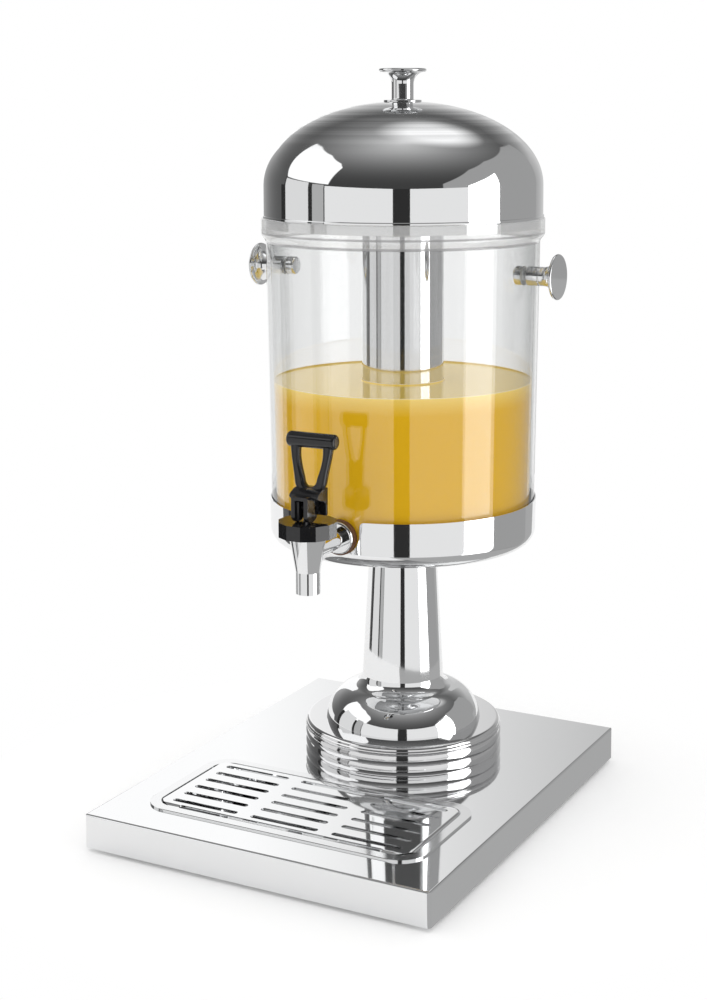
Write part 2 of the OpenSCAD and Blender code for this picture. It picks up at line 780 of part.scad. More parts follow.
// Half the pan's outline, lying the thickness t inside its outer face
module pan_half(t) {
  low_r = tank_r(pan_low) + pan_gap + pan_wall;
  high_r = tank_r(pan_low + pan_h) + pan_gap + pan_wall;
  corner = pan_corner_r - t;
  middle = [low_r - pan_corner_r, pan_corner_r];
  square([middle[0], pan_corner_r]);
  translate([0, t]) square([middle[0], pan_h - t]);
  intersection() {
    translate(middle) circle(corner);
    square([low_r, pan_corner_r]);
  }
  polygon([[0, pan_corner_r], [low_r - t, pan_corner_r], [high_r - t, pan_h], [0, pan_h]]);
}

// The spun pan, notched for the tap and drilled for its screws. It is turned
// so that no seam of the revolved shape runs through the notch.
module bottom_pan() {
  color([0.78, 0.79, 0.8]) on_axis() difference() {
    translate([0, 0, pan_low]) rotate([0, 0, 90]) rotate_extrude() difference() {
      pan_half(0);
      difference() {
        pan_half(pan_wall);
        translate([0, -cut]) square([tank_top_r, cut + pan_wall]);
      }
      translate([0, pan_h - cut]) square([tank_bottom_r, 2 * cut]);
    }
    translate([0, 0, pan_floor + pan_notch_h]) rotate([90, 0, 0]) pan_notch();
    pan_screw_places()
      disc(pan_screw_d / 2 + pan_screw_gap, pan_low - cut, pan_wall + 2 * cut);
  }
}

// The notch's cutter, drawn along Z from half way to the pan's wall
module pan_notch() {
  rise = pan_h - pan_wall - pan_notch_h;
  low = rise - pan_notch_corner_r;
  side = pan_notch_r + pan_notch_corner_r;
  translate([0, 0, tank_top_r / 2]) {
    cylinder(r = pan_notch_r, h = tank_top_r);
    translate([-pan_notch_r, 0, 0]) cube([2 * pan_notch_r, rise + cut, tank_top_r]);
    linear_extrude(tank_top_r) for (x = [-1, 1]) difference() {
      translate([x * (side - pan_notch_corner_r / 2), low + (pan_notch_corner_r + cut) / 2])
        square([pan_notch_corner_r, pan_notch_corner_r + cut], center = true);
      translate([x * side, low]) circle(pan_notch_corner_r);
    }
  }
}

// The three low screws that hold the pan on the column
module pan_screws() {
  color([0.7, 0.7, 0.72]) on_axis() pan_screw_places() {
    disc(pan_screw_d / 2, pan_low - pan_screw_l, pan_screw_l + pan_wall);
    disc(pan_screw_head_d / 2, pan_floor, pan_screw_head_h);
  }
}

// The soft ring that the tank stands on
module tank_seat_ring() {
  color([0.5, 0.5, 0.5]) on_axis() disc(seat_r, pan_floor, seat_h, seat_r - seat_w);
}

// The space inside the tank, up to height z
module tank_room(z, gap = 0) {
  on_axis() intersection() {
    rotate_extrude($fn = wall_fn) polygon([
      [0, tank_floor],
      [tank_r(tank_floor) - tank_wall - gap, tank_floor],
      [tank_r(shoulder_low) - tank_wall - gap, shoulder_low],
      [rim_r - tank_wall - gap, shoulder_top],
      [rim_r - tank_wall - gap, tank_top + cut],
      [0, tank_top + cut]
    ]);
    disc(rim_r, tank_floor, z - tank_floor);
  }
}

// The tank's outer shape as one solid
module tank_outside() {
  on_axis() rotate_extrude($fn = wall_fn) {
    translate([0, tank_low]) square([tank_bottom_r - tank_corner_r, tank_corner_r]);
    intersection() {
      translate([tank_bottom_r - tank_corner_r, tank_low + tank_corner_r]) circle(tank_corner_r);
      translate([0, tank_low]) square([tank_bottom_r, tank_corner_r]);
    }
    polygon([
      [0, tank_low + tank_corner_r],
      [tank_bottom_r, tank_low + tank_corner_r],
      [tank_top_r, shoulder_low],
      [rim_r, shoulder_top],
      [rim_r, tank_top],
      [0, tank_top]
    ]);
  }
}

// The clear tank with its holes for the tap, the handles and the ice tube
module tank() {
  color([0.9, 0.94, 0.96, 0.3]) difference() {
    tank_outside();
    tank_room(tank_top + cut);
    on_axis() disc(ice_stud_d / 2 + ice_stud_gap, tank_low - cut, tank_floor_t + 2 * cut);
    along_shank() cylinder(r = thread_r + thread_gap, h = tank_top_r + cut);
    for (side = [-1, 1])
      along_handle(side) cylinder(r = handle_stud_d / 2 + handle_stud_gap, h = tank_top_r + cut);
  }
}

// The juice, kept clear of everything that stands in it
module juice() {
  color([0.95, 0.66, 0.1]) difference() {
    tank_room(tank_floor + juice_h, juice_gap);
    on_axis() disc(ice_r + juice_gap, tank_floor - cut, juice_h + 2 * cut);
    along_shank() translate([0, 0, thread_in - juice_gap])
      cylinder(r = lock_nut_w / sqrt(3) + juice_gap, h = tank_top_r);
  }
}

// The steel tube for ice, with a rolled rim and a stud below
module ice_tube() {
  color([0.8, 0.81, 0.82]) on_axis() rotate_extrude() difference() {
    union() {
      translate([0, ice_low]) square([ice_r - ice_corner_r, ice_corner_r]);
      intersection() {
        translate([ice_r - ice_corner_r, ice_low + ice_corner_r]) circle(ice_corner_r);
        translate([0, ice_low]) square([ice_r, ice_corner_r]);
      }
      translate([0, ice_low + ice_corner_r])
        square([ice_r, ice_top - ice_bead_r - ice_low - ice_corner_r]);
      translate([ice_r - ice_wall / 2, ice_top - ice_bead_r]) circle(ice_bead_r);
      translate([0, ice_nut_low]) square([ice_stud_d / 2, ice_low - ice_nut_low + ice_wall]);
    }
    translate([0, ice_low + ice_wall]) square([ice_r - ice_wall, ice_top - ice_low]);
  }
}
module ice_tube_gasket() {
  color([0.5, 0.5, 0.5]) on_axis()
    disc(ice_gasket_r, tank_floor, ice_gasket_t, ice_stud_d / 2 + ice_stud_gap);
}
module ice_tube_washer() {
  color([0.7, 0.7, 0.72]) on_axis()
    disc(ice_washer_r, ice_washer_low, ice_washer_t, ice_stud_d / 2 + ice_stud_gap);
}
module ice_tube_nut() {
  color([0.7, 0.7, 0.72]) on_axis() hex_nut(ice_nut_w, ice_nut_low, ice_nut_h, ice_stud_d / 2);
}

// A turned side handle on its stud, with its neck cut to the tank's wall
module handle(side) {
  disc_in = handle_reach - handle_disc_t;
  flare_x = handle_neck_r + handle_flare_r;
  stud_in = handle_in - handle_gasket_t - handle_nut_bore;
  color([0.8, 0.81, 0.82]) {
    along_handle(side) disc(handle_stud_d / 2, stud_in, disc_in - stud_in);
    difference() {
      along_handle(side) rotate_extrude() difference() {
        union() {
          translate([0, handle_in]) square([handle_neck_r, disc_in - handle_in]);
          translate([0, disc_in - handle_flare_r]) square([flare_x, handle_flare_r]);
          translate([0, disc_in]) square([handle_disc_r - handle_disc_t / 2, handle_disc_t]);
          translate([handle_disc_r - handle_disc_t / 2, disc_in + handle_disc_t / 2])
            circle(handle_disc_t / 2);
        }
        translate([flare_x, disc_in - handle_flare_r]) circle(handle_flare_r);
        translate([handle_neck_r, handle_out + handle_groove_h]) circle(handle_groove_r);
      }
      tank_outside();
    }
  }
}
module handle_left() handle(-1);
module handle_right() handle(1);

// The soft washer between the wall's inner face and the round nut
module handle_gasket(side) {
  color([0.5, 0.5, 0.5]) intersection() {
    along_handle(side) disc(handle_nut_r, handle_in - handle_gasket_t, tank_wall,
      handle_stud_d / 2 + handle_stud_gap);
    tank_room(tank_top, washer_gap);
  }
}
module handle_gasket_left() handle_gasket(-1);
module handle_gasket_right() handle_gasket(1);

// The round nut inside the tank, with a blind hole for the stud
module handle_nut(side) {
  nut_out = handle_in - handle_gasket_t;
  color([0.8, 0.81, 0.82]) along_handle(side) difference() {
    translate([0, 0, nut_out]) rotate([180, 0, 0]) rotate_extrude()
      cap_half(handle_nut_r, handle_nut_h, handle_nut_edge_r);
    disc(handle_stud_d / 2, nut_out - handle_nut_bore, handle_nut_bore + cut);
  }
}
module handle_nut_left() handle_nut(-1);
module handle_nut_right() handle_nut(1);

// The dome's height above its straight wall, as a share, at a share s of its radius
function dome_share(s) = pow(1 - pow(s, dome_power), 1 / dome_power);

// Half the outline of the dome and its straight wall, lying t inside the outer face
module dome_half(t) {
  polygon(concat(
    [[0, tank_top], [lid_r - t, tank_top]],
    [for (i = [0:dome_steps]) let (s = sin(90 * (1 - i / dome_steps)))
      [(lid_r - t) * s, dome_low + (dome_h - t) * dome_share(s)]]
  ));
}

// The spun lid with a bead round its lower edge
module lid_dome() {
  color([0.78, 0.79, 0.8]) on_axis() rotate_extrude() difference() {
    union() {
      dome_half(0);
      translate([0, tank_top]) square([lid_r + lid_bead_out / 2, lid_bead_h]);
      for (z = [tank_top + lid_bead_out, tank_top + lid_bead_h - lid_bead_out])
        translate([lid_r, z]) circle(lid_bead_out);
      translate([0, tank_top + lid_bead_out])
        square([lid_r + lid_bead_out, lid_bead_h - 2 * lid_bead_out]);
    }
    dome_half(lid_t);
    square([lid_r - lid_t, tank_top + cut]);
    translate([0, dome_top - 2 * lid_t]) square([knob_screw_d / 2 + knob_screw_gap, 3 * lid_t]);
  }
}

// The skirt that centres the lid in the tank's rim
module lid_skirt() {
  color([0.78, 0.79, 0.8]) on_axis() {
    disc(lid_r - lid_t, tank_top, lid_t, skirt_r - lid_t);
    disc(skirt_r, tank_top - skirt_h, skirt_h + lid_t / 2, skirt_r - lid_t);
  }
}

// The turned knob, with its foot cut to the dome
module lid_knob() {
  rim_low = knob_top - knob_rim_t;
  flare_x = knob_stem_r + knob_flare_r;
  color([0.8, 0.81, 0.82]) on_axis() rotate_extrude() difference() {
    union() {
      translate([0, dome_top - lid_t]) square([knob_foot_r - knob_foot_t / 2, knob_foot_t + lid_t]);
      translate([knob_foot_r - knob_foot_t / 2, dome_top + knob_foot_t / 2])
        circle(knob_foot_t / 2);
      translate([0, dome_top - lid_t]) square([knob_foot_r, lid_t + knob_foot_t / 2]);
      translate([0, dome_top]) square([knob_stem_r, knob_h - knob_rim_t]);
      translate([0, rim_low - knob_flare_r]) square([flare_x, knob_flare_r]);
      translate([0, rim_low])
        square([knob_top_r - knob_rim_t / 2, knob_rim_t]);
      translate([knob_top_r - knob_rim_t / 2, rim_low + knob_rim_t / 2]) circle(knob_rim_t / 2);
    }
    translate([flare_x, rim_low - knob_flare_r]) circle(knob_flare_r);
    dome_half(0);
    square([knob_screw_d / 2, dome_top + knob_screw_l]);
  }
}
module lid_knob_screw() {
  head_high = dome_top - lid_t - knob_washer_t;
  color([0.7, 0.7, 0.72]) on_axis() {
    disc(knob_screw_d / 2, head_high - knob_screw_head_h / 2,
      dome_top + knob_screw_l - head_high + knob_screw_head_h / 2);
    disc(knob_screw_head_d / 2, head_high - knob_screw_head_h, knob_screw_head_h);
  }
}
module lid_knob_washer() {
  color([0.7, 0.7, 0.72]) on_axis() rotate_extrude() intersection() {
    translate([knob_screw_d / 2 + knob_screw_gap, dome_top - lid_t - knob_washer_t])
      square([knob_washer_r - knob_screw_d / 2 - knob_screw_gap, knob_washer_t]);
    dome_half(lid_t);
  }
}

// The tap's body, with its spout, chamber, shank and thread in one piece
module tap_body() {
  color([0.8, 0.81, 0.82]) difference() {
    union() {
      on_tap() {
        disc(spout_r, spout_low, cone_low - spout_low);
        translate([0, 0, cone_low])
          cylinder(r1 = spout_r, r2 = cone_top_r, h = collar_low - cone_low);
        disc(tap_neck_r, collar_low, chamber_top - collar_low);
      }
      along_shank() {
        disc(shank_r, ring_out, tap_reach - ring_out);
        disc(thread_r, thread_in, tap_reach - thread_in);
      }
    }
    on_tap() {
      disc(spout_bore_r, spout_low - cut, valve_seat - spout_low + 2 * cut);
      translate([0, 0, valve_seat])
        cylinder(r1 = chamber_low_r, r2 = chamber_top_r, h = chamber_top - valve_seat);
      disc(chamber_top_r, chamber_top - cut / 10, cut);
    }
    along_shank() disc(shank_bore_r, thread_in - cut, tap_reach - thread_in + cut);
  }
}

// The twelve-sided collar that screws on the tap's body
module tap_collar() {
  color([0.05, 0.05, 0.05]) on_tap() difference() {
    translate([0, 0, collar_low]) rotate([0, 0, 180 / collar_sides])
      cylinder(r = collar_r, h = collar_h, $fn = collar_sides);
    disc(tap_neck_r, collar_low - cut, chamber_top - collar_low + cut);
    disc(stem_d / 2 + stem_gap, chamber_top - cut, collar_top_t + 2 * cut);
  }
}

// The domed ring and the gasket outside the tank's wall
module tap_ring() {
  color([0.8, 0.81, 0.82]) along_shank() translate([0, 0, ring_in]) rotate_extrude() difference() {
    cap_half(ring_r, ring_t, ring_edge_r);
    translate([0, -cut]) square([thread_r, ring_t + 2 * cut]);
  }
}
module tap_gasket() {
  color([0.35, 0.2, 0.1]) difference() {
    along_shank()
      disc(gasket_r, wall_in + tank_wall / 2, ring_in - wall_in - tank_wall / 2, thread_r);
    tank_outside();
  }
}

// The washer and the lock nut inside the tank
module tap_inner_washer() {
  color([0.5, 0.5, 0.5]) intersection() {
    along_shank() disc(inner_washer_r, washer_in, inner_washer_t + tank_wall / 2, thread_r);
    tank_room(tank_top, washer_gap);
  }
}
module tap_lock_nut() {
  color([0.75, 0.75, 0.77]) along_shank() hex_nut(lock_nut_w, nut_in, lock_nut_t, thread_r);
}

// The closing spring, as one tube wound round the stem
module tap_spring() {
  steps = spring_turns * spring_rings;
  wire_r = spring_wire_d / 2;
  rise = spring_high - spring_low - spring_wire_d;
  points = [for (i = [0:steps], k = [0:spring_sides - 1])
    let (a = 360 * i / spring_rings, b = 360 * k / spring_sides, r = spring_r + wire_r * cos(b))
      [r * cos(a), r * sin(a), spring_low + wire_r + rise * i / steps + wire_r * sin(b)]];
  sides = [for (i = [0:steps - 1], k = [0:spring_sides - 1])
    let (n = spring_sides, j = (k + 1) % n)
      [i * n + k, (i + 1) * n + k, (i + 1) * n + j, i * n + j]];
  ends = [[for (k = [0:spring_sides - 1]) k],
    [for (k = [0:spring_sides - 1]) (steps + 1) * spring_sides - 1 - k]];
  color([0.7, 0.7, 0.72]) on_tap() polyhedron(points, concat(sides, ends));
}

// The stem that lifts off the seat, with its flange for the spring
module tap_stem() {
  color([0.75, 0.75, 0.77]) on_tap() difference() {
    union() {
      disc(stem_flange_r, stem_flange_low, stem_flange_t);
      disc(stem_d / 2, stem_flange_low, pin_z + stem_above_pin - stem_flange_low);
      disc(stem_d / 4, valve_seat + seal_t / 2, seal_t);
    }
    translate([-stem_d, 0, pin_z]) rotate([0, 90, 0])
      cylinder(r = pin_d / 2 + pin_gap, h = 2 * stem_d);
  }
}
module tap_seal() {
  color([0.1, 0.1, 0.1]) on_tap() difference() {
    disc(seal_r, valve_seat, seal_t);
    disc(stem_d / 4, valve_seat + seal_t / 2, seal_t);
  }
}

// The lever's outline from the front: waist, arms and the loop's teardrop hole
module lever_front() {
  difference() {
    union() {
      translate([-yoke_w / 2, -yoke_drop]) square([yoke_w, yoke_drop + waist_rise]);
      polygon([[-yoke_w / 2, waist_rise], [yoke_w / 2, waist_rise],
        [loop_w / 2, bar_rise - bar_r], [loop_w / 2, bar_rise],
        [-loop_w / 2, bar_rise], [-loop_w / 2, bar_rise - bar_r]]);
    }
    translate([0, hole_rise]) circle(hole_r);
    translate([0, hole_low_rise]) circle(hole_low_r);
    teardrop_sides();
  }
}

// The straight sides of the teardrop, touching both of its rounds
module teardrop_sides() {
  a = asin((hole_r - hole_low_r) / (hole_rise - hole_low_rise));
  polygon([
    [-hole_r * cos(a), hole_rise - hole_r * sin(a)],
    [hole_r * cos(a), hole_rise - hole_r * sin(a)],
    [hole_low_r * cos(a), hole_low_rise - hole_low_r * sin(a)],
    [-hole_low_r * cos(a), hole_low_rise - hole_low_r * sin(a)]
  ]);
}

// The lever's outline from the side, with Y first: the yoke's S-shaped front
// and the arms that lean back
module lever_side() {
  front = waist_rise * lever_lean + yoke_back - arm_d;
  polygon(concat(
    [[yoke_back, -yoke_drop]],
    [for (i = [0:len(yoke_y_shares) - 1]) lobe_r * [yoke_y_shares[i], yoke_z_shares[i]]],
    [[bar_back - arm_d / 2, bar_rise], [bar_back + arm_d / 2, bar_rise],
      [yoke_back, waist_rise / 2]]
  ));
}

// The round bar across the lever's top
module lever_bar() {
  rotate([0, 90, 0]) translate([0, 0, -bar_l / 2]) rotate_extrude() {
    translate([0, bar_edge_r]) square([bar_r, bar_l - 2 * bar_edge_r]);
    square([bar_r - bar_edge_r, bar_l]);
    for (z = [bar_edge_r, bar_l - bar_edge_r]) translate([bar_r - bar_edge_r, z]) circle(bar_edge_r);
  }
}

// The fork's outline from the side: the lobe with a flat front
module fork_side() {
  intersection() {
    union() {
      translate([-lobe_offset, 0]) circle(lobe_r);
      translate([-fork_front, 0]) square([fork_front + yoke_back, fork_rise]);
    }
    translate([-fork_front, -lobe_r]) square([fork_front + yoke_back, lobe_r + fork_rise]);
  }
}

// The black lever with its fork, loop and bar
module tap_lever() {
  color([0.05, 0.05, 0.05]) translate([0, tap_y, pin_z]) difference() {
    union() {
      intersection() {
        rotate([90, 0, 0]) linear_extrude(4 * bar_l, center = true) lever_front();
        rotate([90, 0, 90]) linear_extrude(2 * bar_l, center = true) lever_side();
      }
      rotate([90, 0, 90]) linear_extrude(fork_w, center = true) fork_side();
      translate([0, bar_back, bar_rise]) lever_bar();
    }
    translate([-fork_slot_w / 2, -lobe_offset - lobe_r, -lobe_r - cut])
      cube([fork_slot_w, lobe_offset + lobe_r + fork_slot_back, lobe_r + cut + fork_slot_rise]);
    translate([-fork_w, 0, 0]) rotate([0, 90, 0]) cylinder(r = pin_d / 2, h = 2 * fork_w);
  }
}
module lever_pin() {
  color([0.75, 0.75, 0.77]) translate([-fork_w / 2, tap_y, pin_z])
    rotate([0, 90, 0]) cylinder(r = pin_d / 2, h = fork_w);
}

// Each piece is drawn by itself or with all the others
base_plate();
base_stiffener();
foot_front_left();
foot_front_right();
foot_back_left();
foot_back_right();
drip_tray();
drip_grate();
riser_drum();
column();
column_head();
tie_rod();
tie_rod_washer();
tie_rod_nut();
bottom_pan();
pan_screws();
tank_seat_ring();
tank();
juice();
ice_tube();
ice_tube_gasket();
ice_tube_washer();
ice_tube_nut();
handle_left();
handle_right();
handle_gasket_left();
handle_gasket_right();
handle_nut_left();
handle_nut_right();
lid_dome();
lid_skirt();
lid_knob();
lid_knob_screw();
lid_knob_washer();
tap_body();
tap_collar();
tap_ring();
tap_gasket();
tap_inner_washer();
tap_lock_nut();
tap_spring();
tap_stem();
tap_seal();
tap_lever();
lever_pin();
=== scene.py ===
import math

import bmesh
import bpy
from mathutils import Matrix, Vector


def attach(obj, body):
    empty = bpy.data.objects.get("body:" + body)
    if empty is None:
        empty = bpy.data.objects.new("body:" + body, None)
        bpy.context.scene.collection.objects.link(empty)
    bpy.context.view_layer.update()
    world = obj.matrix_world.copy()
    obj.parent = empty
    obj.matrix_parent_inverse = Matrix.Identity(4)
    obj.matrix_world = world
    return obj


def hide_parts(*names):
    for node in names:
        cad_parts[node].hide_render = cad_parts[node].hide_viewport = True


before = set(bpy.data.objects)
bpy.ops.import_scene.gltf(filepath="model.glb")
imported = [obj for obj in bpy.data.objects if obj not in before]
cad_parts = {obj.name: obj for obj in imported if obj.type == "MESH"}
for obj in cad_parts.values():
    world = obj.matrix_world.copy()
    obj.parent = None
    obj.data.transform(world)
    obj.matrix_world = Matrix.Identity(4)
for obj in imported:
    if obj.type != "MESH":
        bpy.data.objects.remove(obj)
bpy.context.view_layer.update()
MM = 0.001


# Base: a shallow box folded from one polished stainless sheet, with its lips
# turned in below, and a plate spot-welded under the column to stiffen it.
class Value:
    """One socket of a shader. Arithmetic on it adds Math nodes."""

    def __init__(self, tree, socket):
        self.tree, self.socket = tree, socket

    def math(self, how, *terms):
        node = self.tree.nodes.new("ShaderNodeMath")
        node.operation = how
        for place, term in zip(node.inputs, terms):
            if isinstance(term, Value):
                self.tree.links.new(term.socket, place)
            else:
                place.default_value = term
        return Value(self.tree, node.outputs[0])

    def __add__(self, other):
        return self.math("ADD", self, other)

    def __sub__(self, other):
        return self.math("SUBTRACT", self, other)

    def __rsub__(self, other):
        return self.math("SUBTRACT", other, self)

    def __mul__(self, other):
        return self.math("MULTIPLY", self, other)

    def __truediv__(self, other):
        return self.math("DIVIDE", self, other)

    def __pow__(self, other):
        return self.math("POWER", self, other)

    def __gt__(self, other):
        return self.math("GREATER_THAN", self, other)

    def __lt__(self, other):
        return self.math("LESS_THAN", self, other)

    __radd__ = __add__
    __rmul__ = __mul__

    def clamped(self):
        """This value, kept between 0 and 1."""
        return self.math("MINIMUM", self.math("MAXIMUM", self, 0.0), 1.0)


class Finish:
    """The node tree of one finish, a material's or the world's."""

    def __init__(self, name, block=None):
        self.block = block or bpy.data.materials.new(name)
        self.block.use_nodes = True
        self.tree = self.block.node_tree
        self.tree.nodes.clear()

    def node(self, kind, settings=None, inputs=None, out=0):
        node = self.tree.nodes.new("ShaderNode" + kind)
        for key, setting in (settings or {}).items():
            setattr(node, key, setting)
        for key, term in (inputs or {}).items():
            if isinstance(term, Value):
                self.tree.links.new(term.socket, node.inputs[key])
            else:
                node.inputs[key].default_value = term
        return Value(self.tree, node.outputs[out])

    def place(self):
        """Where a point lies, in metres, as its X, Y and Z."""
        spot = self.node("TexCoord", out=3)
        return spot, [self.node("SeparateXYZ", inputs={"Vector": spot}, out=i) for i in range(3)]

    def ramp(self, share, stops):
        """Grey levels set out along a value that goes from 0 to 1."""
        node = self.tree.nodes.new("ShaderNodeValToRGB")
        marks = node.color_ramp.elements
        for where, _ in stops[1:-1]:
            marks.new(where)
        marks[0].position, marks[-1].position = stops[0][0], stops[-1][0]
        for mark, (_, level) in zip(marks, stops):
            mark.color = (level, level, level, 1)
        self.tree.links.new(share.socket, node.inputs[0])
        return Value(self.tree, node.outputs[0])

    def speckle(self, scale, detail=3.0, roughness=0.5, at=None):
        spot = at or self.node("TexCoord", out=3)
        return self.node(
            "TexNoise",
            inputs={"Vector": spot, "Scale": scale, "Detail": detail, "Roughness": roughness},
        )

    def blend(self, share, first, second):
        """A colour that goes from first to second as share goes from 0 to 1."""
        node = self.tree.nodes.new("ShaderNodeMix")
        node.data_type = "RGBA"
        for place, term in zip((node.inputs[0], node.inputs[6], node.inputs[7]), (share, first, second)):
            if isinstance(term, Value):
                self.tree.links.new(term.socket, place)
            else:
                place.default_value = (*term, 1) if isinstance(term, tuple) else term
        return Value(self.tree, node.outputs[2])

    def mix(self, share, first, second):
        """A shader that goes from first to second as share goes from 0 to 1."""
        return self.node("MixShader", inputs={0: share, 1: first, 2: second})

    def done(self, shader):
        kind = "World" if isinstance(self.block, bpy.types.World) else "Material"
        end = self.tree.nodes.new("ShaderNodeOutput" + kind)
        self.tree.links.new(shader.socket, end.inputs["Surface"])
        return self.block


CLOUD_SCALE, HAIR_SCALE, HAIR_STRETCH, DULLED = 18.0, 900.0, (1.0, 0.06, 0.4), 0.985


def polished(name, tint, rough, haze=0.02, scratch=0.015):
    """Mirror-polished metal: faint buffing haze and hairline scratches all over."""
    finish = Finish(name)
    spot, _ = finish.place()
    cloud = finish.speckle(CLOUD_SCALE)
    hair = finish.speckle(HAIR_SCALE, detail=1.0, at=finish.node(
        "Mapping", inputs={"Vector": spot, "Scale": HAIR_STRETCH}))
    colour = finish.blend(cloud, tuple(DULLED * c for c in tint), tint)
    bump = finish.node("Bump", inputs={"Height": hair, "Strength": scratch, "Distance": 0.00002})
    return finish.done(finish.node("BsdfPrincipled", inputs={
        "Base Color": colour, "Metallic": 1.0,
        "Roughness": rough + haze * cloud, "Normal": bump}))


def wear(node, material):
    """Puts a finish on a kept CAD node."""
    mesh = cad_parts[node].data
    if not mesh.materials:
        mesh.materials.append(material)
    for place in range(len(mesh.materials)):
        mesh.materials[place] = material


STEEL_TINT, PLAIN_TINT = (0.88, 0.885, 0.89), (0.62, 0.62, 0.63)
sheet_polish = polished("polished_sheet", STEEL_TINT, 0.035)
plain_steel = polished("plain_steel", PLAIN_TINT, 0.22, haze=0.12, scratch=0.2)
wear("base_plate", sheet_polish)
wear("base_stiffener", plain_steel)


# Feet: four moulded rubber buttons, pushed into holes in the base's lips.
rubber = Finish("black_rubber")
grain = rubber.speckle(600.0, detail=4.0)
black_rubber = rubber.done(rubber.node("BsdfPrincipled", inputs={
    "Base Color": rubber.blend(grain, (0.018, 0.018, 0.018), (0.035, 0.035, 0.034)),
    "Roughness": 0.55 + 0.2 * grain,
    "Normal": rubber.node("Bump", inputs={"Height": grain, "Strength": 0.3, "Distance": 0.0001})}))
for corner in ("front_left", "front_right", "back_left", "back_right"):
    wear("foot_" + corner, black_rubber)


# Drip tray and grate: both pressed from stainless sheet and polished; the
# grate's slots are punched, and it lies loose on the tray's ledge.
tray_polish = polished("tray_polish", (0.84, 0.845, 0.85), 0.07, haze=0.05)
wear("drip_tray", tray_polish)
wear("drip_grate", sheet_polish)


# Drum: a spun stainless cap with rolled grooves and slightly rounded bands
# between them, standing on the base and clamped there by the rod inside it.
TANK_AXIS = (0.0, 66.0)
FLAT_UP_TO = 32.0


def bend(middle, radius, start, end, steps=10):
    """Points in mm along a bend, from one angle to another in degrees."""
    turn = [math.radians(start + (end - start) * i / steps) for i in range(steps + 1)]
    return [(middle[0] + radius * math.cos(a), middle[1] + radius * math.sin(a)) for a in turn]


def smooth(piece, angle=FLAT_UP_TO):
    """Shades a piece smooth up to its real edges, with flat faces kept flat."""
    mesh = piece.data
    mesh.polygons.foreach_set("use_smooth", [True] * len(mesh.polygons))
    mesh.set_sharp_from_angle(angle=math.radians(angle))
    piece.modifiers.new("flat_faces", "WEIGHTED_NORMAL").keep_sharp = True


def added(name, content):
    """Puts a mesh, a light or a camera in the scene."""
    thing = bpy.data.objects.new(name, content)
    bpy.context.collection.objects.link(thing)
    return thing


def closed_mesh(name, shape, place=None):
    """The mesh of a closed shape, with its faces outward, moved to its place."""
    bmesh.ops.recalc_face_normals(shape, faces=shape.faces)
    mesh = bpy.data.meshes.new(name)
    shape.to_mesh(mesh)
    shape.free()
    if place is not None:
        mesh.transform(place)
    return mesh


def turned(name, outline, steps=256, place=None):
    """A part made on a lathe: its closed outline of (radius, height) in mm, spun round the tank's axis."""
    shape = bmesh.new()
    rings = []
    for radius, height in outline:
        if radius < 1e-6:
            rings.append([shape.verts.new((0, 0, height * MM))] * steps)
            continue
        turn = [2 * math.pi * i / steps for i in range(steps)]
        rings.append([
            shape.verts.new((radius * MM * math.cos(a), radius * MM * math.sin(a), height * MM))
            for a in turn])
    for here, there in zip(rings, rings[1:] + rings[:1]):
        if here[0] is here[1] and there[0] is there[1]:
            continue
        for i in range(steps):
            j = (i + 1) % steps
            corners = list(dict.fromkeys((here[i], here[j], there[j], there[i])))
            shape.faces.new(corners)
    upright = Matrix.Translation((TANK_AXIS[0] * MM, TANK_AXIS[1] * MM, 0))
    piece = added(name, closed_mesh(name, shape, place or upright))
    smooth(piece)
    return piece


def fit(piece, material, body, slot, *nodes):
    """Finishes a piece, fixes it to a body and lets it stand for its CAD nodes."""
    piece.data.materials.append(material)
    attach(piece, body)
    if nodes:
        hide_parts(*nodes)


BASE_TOP = 28.1
DRUM_R, DRUM_TOP, DRUM_EDGE, GROOVE = 78.9, 51.3, 3.0, 0.7
GROOVE_RISES, BEAD, BEAD_STEPS = (8.6, 16.6), 0.8, 12
drum_line = [(0, BASE_TOP), (DRUM_R, BASE_TOP)]
lows = [BASE_TOP] + [BASE_TOP + rise for rise in GROOVE_RISES]
for low, high in zip(lows, lows[1:] + [DRUM_TOP]):
    low, high = low + GROOVE / 2, high - (GROOVE / 2 if high < DRUM_TOP else DRUM_EDGE)
    drum_line += [
        (DRUM_R - BEAD * (2 * i / BEAD_STEPS - 1) ** 2, low + (high - low) * i / BEAD_STEPS)
        for i in range(BEAD_STEPS + 1)]
    if high < DRUM_TOP - DRUM_EDGE:
        drum_line += [(DRUM_R - BEAD - GROOVE, high + GROOVE / 2)]
drum_line += bend((DRUM_R - BEAD - DRUM_EDGE, DRUM_TOP - DRUM_EDGE), DRUM_EDGE, 0, 90, 12)
drum_line += [(0, DRUM_TOP)]
drum_polish = polished("drum_polish", (0.82, 0.82, 0.825), 0.045)
fit(turned("drum", drum_line), drum_polish, "base", "polished_steel", "riser_drum")


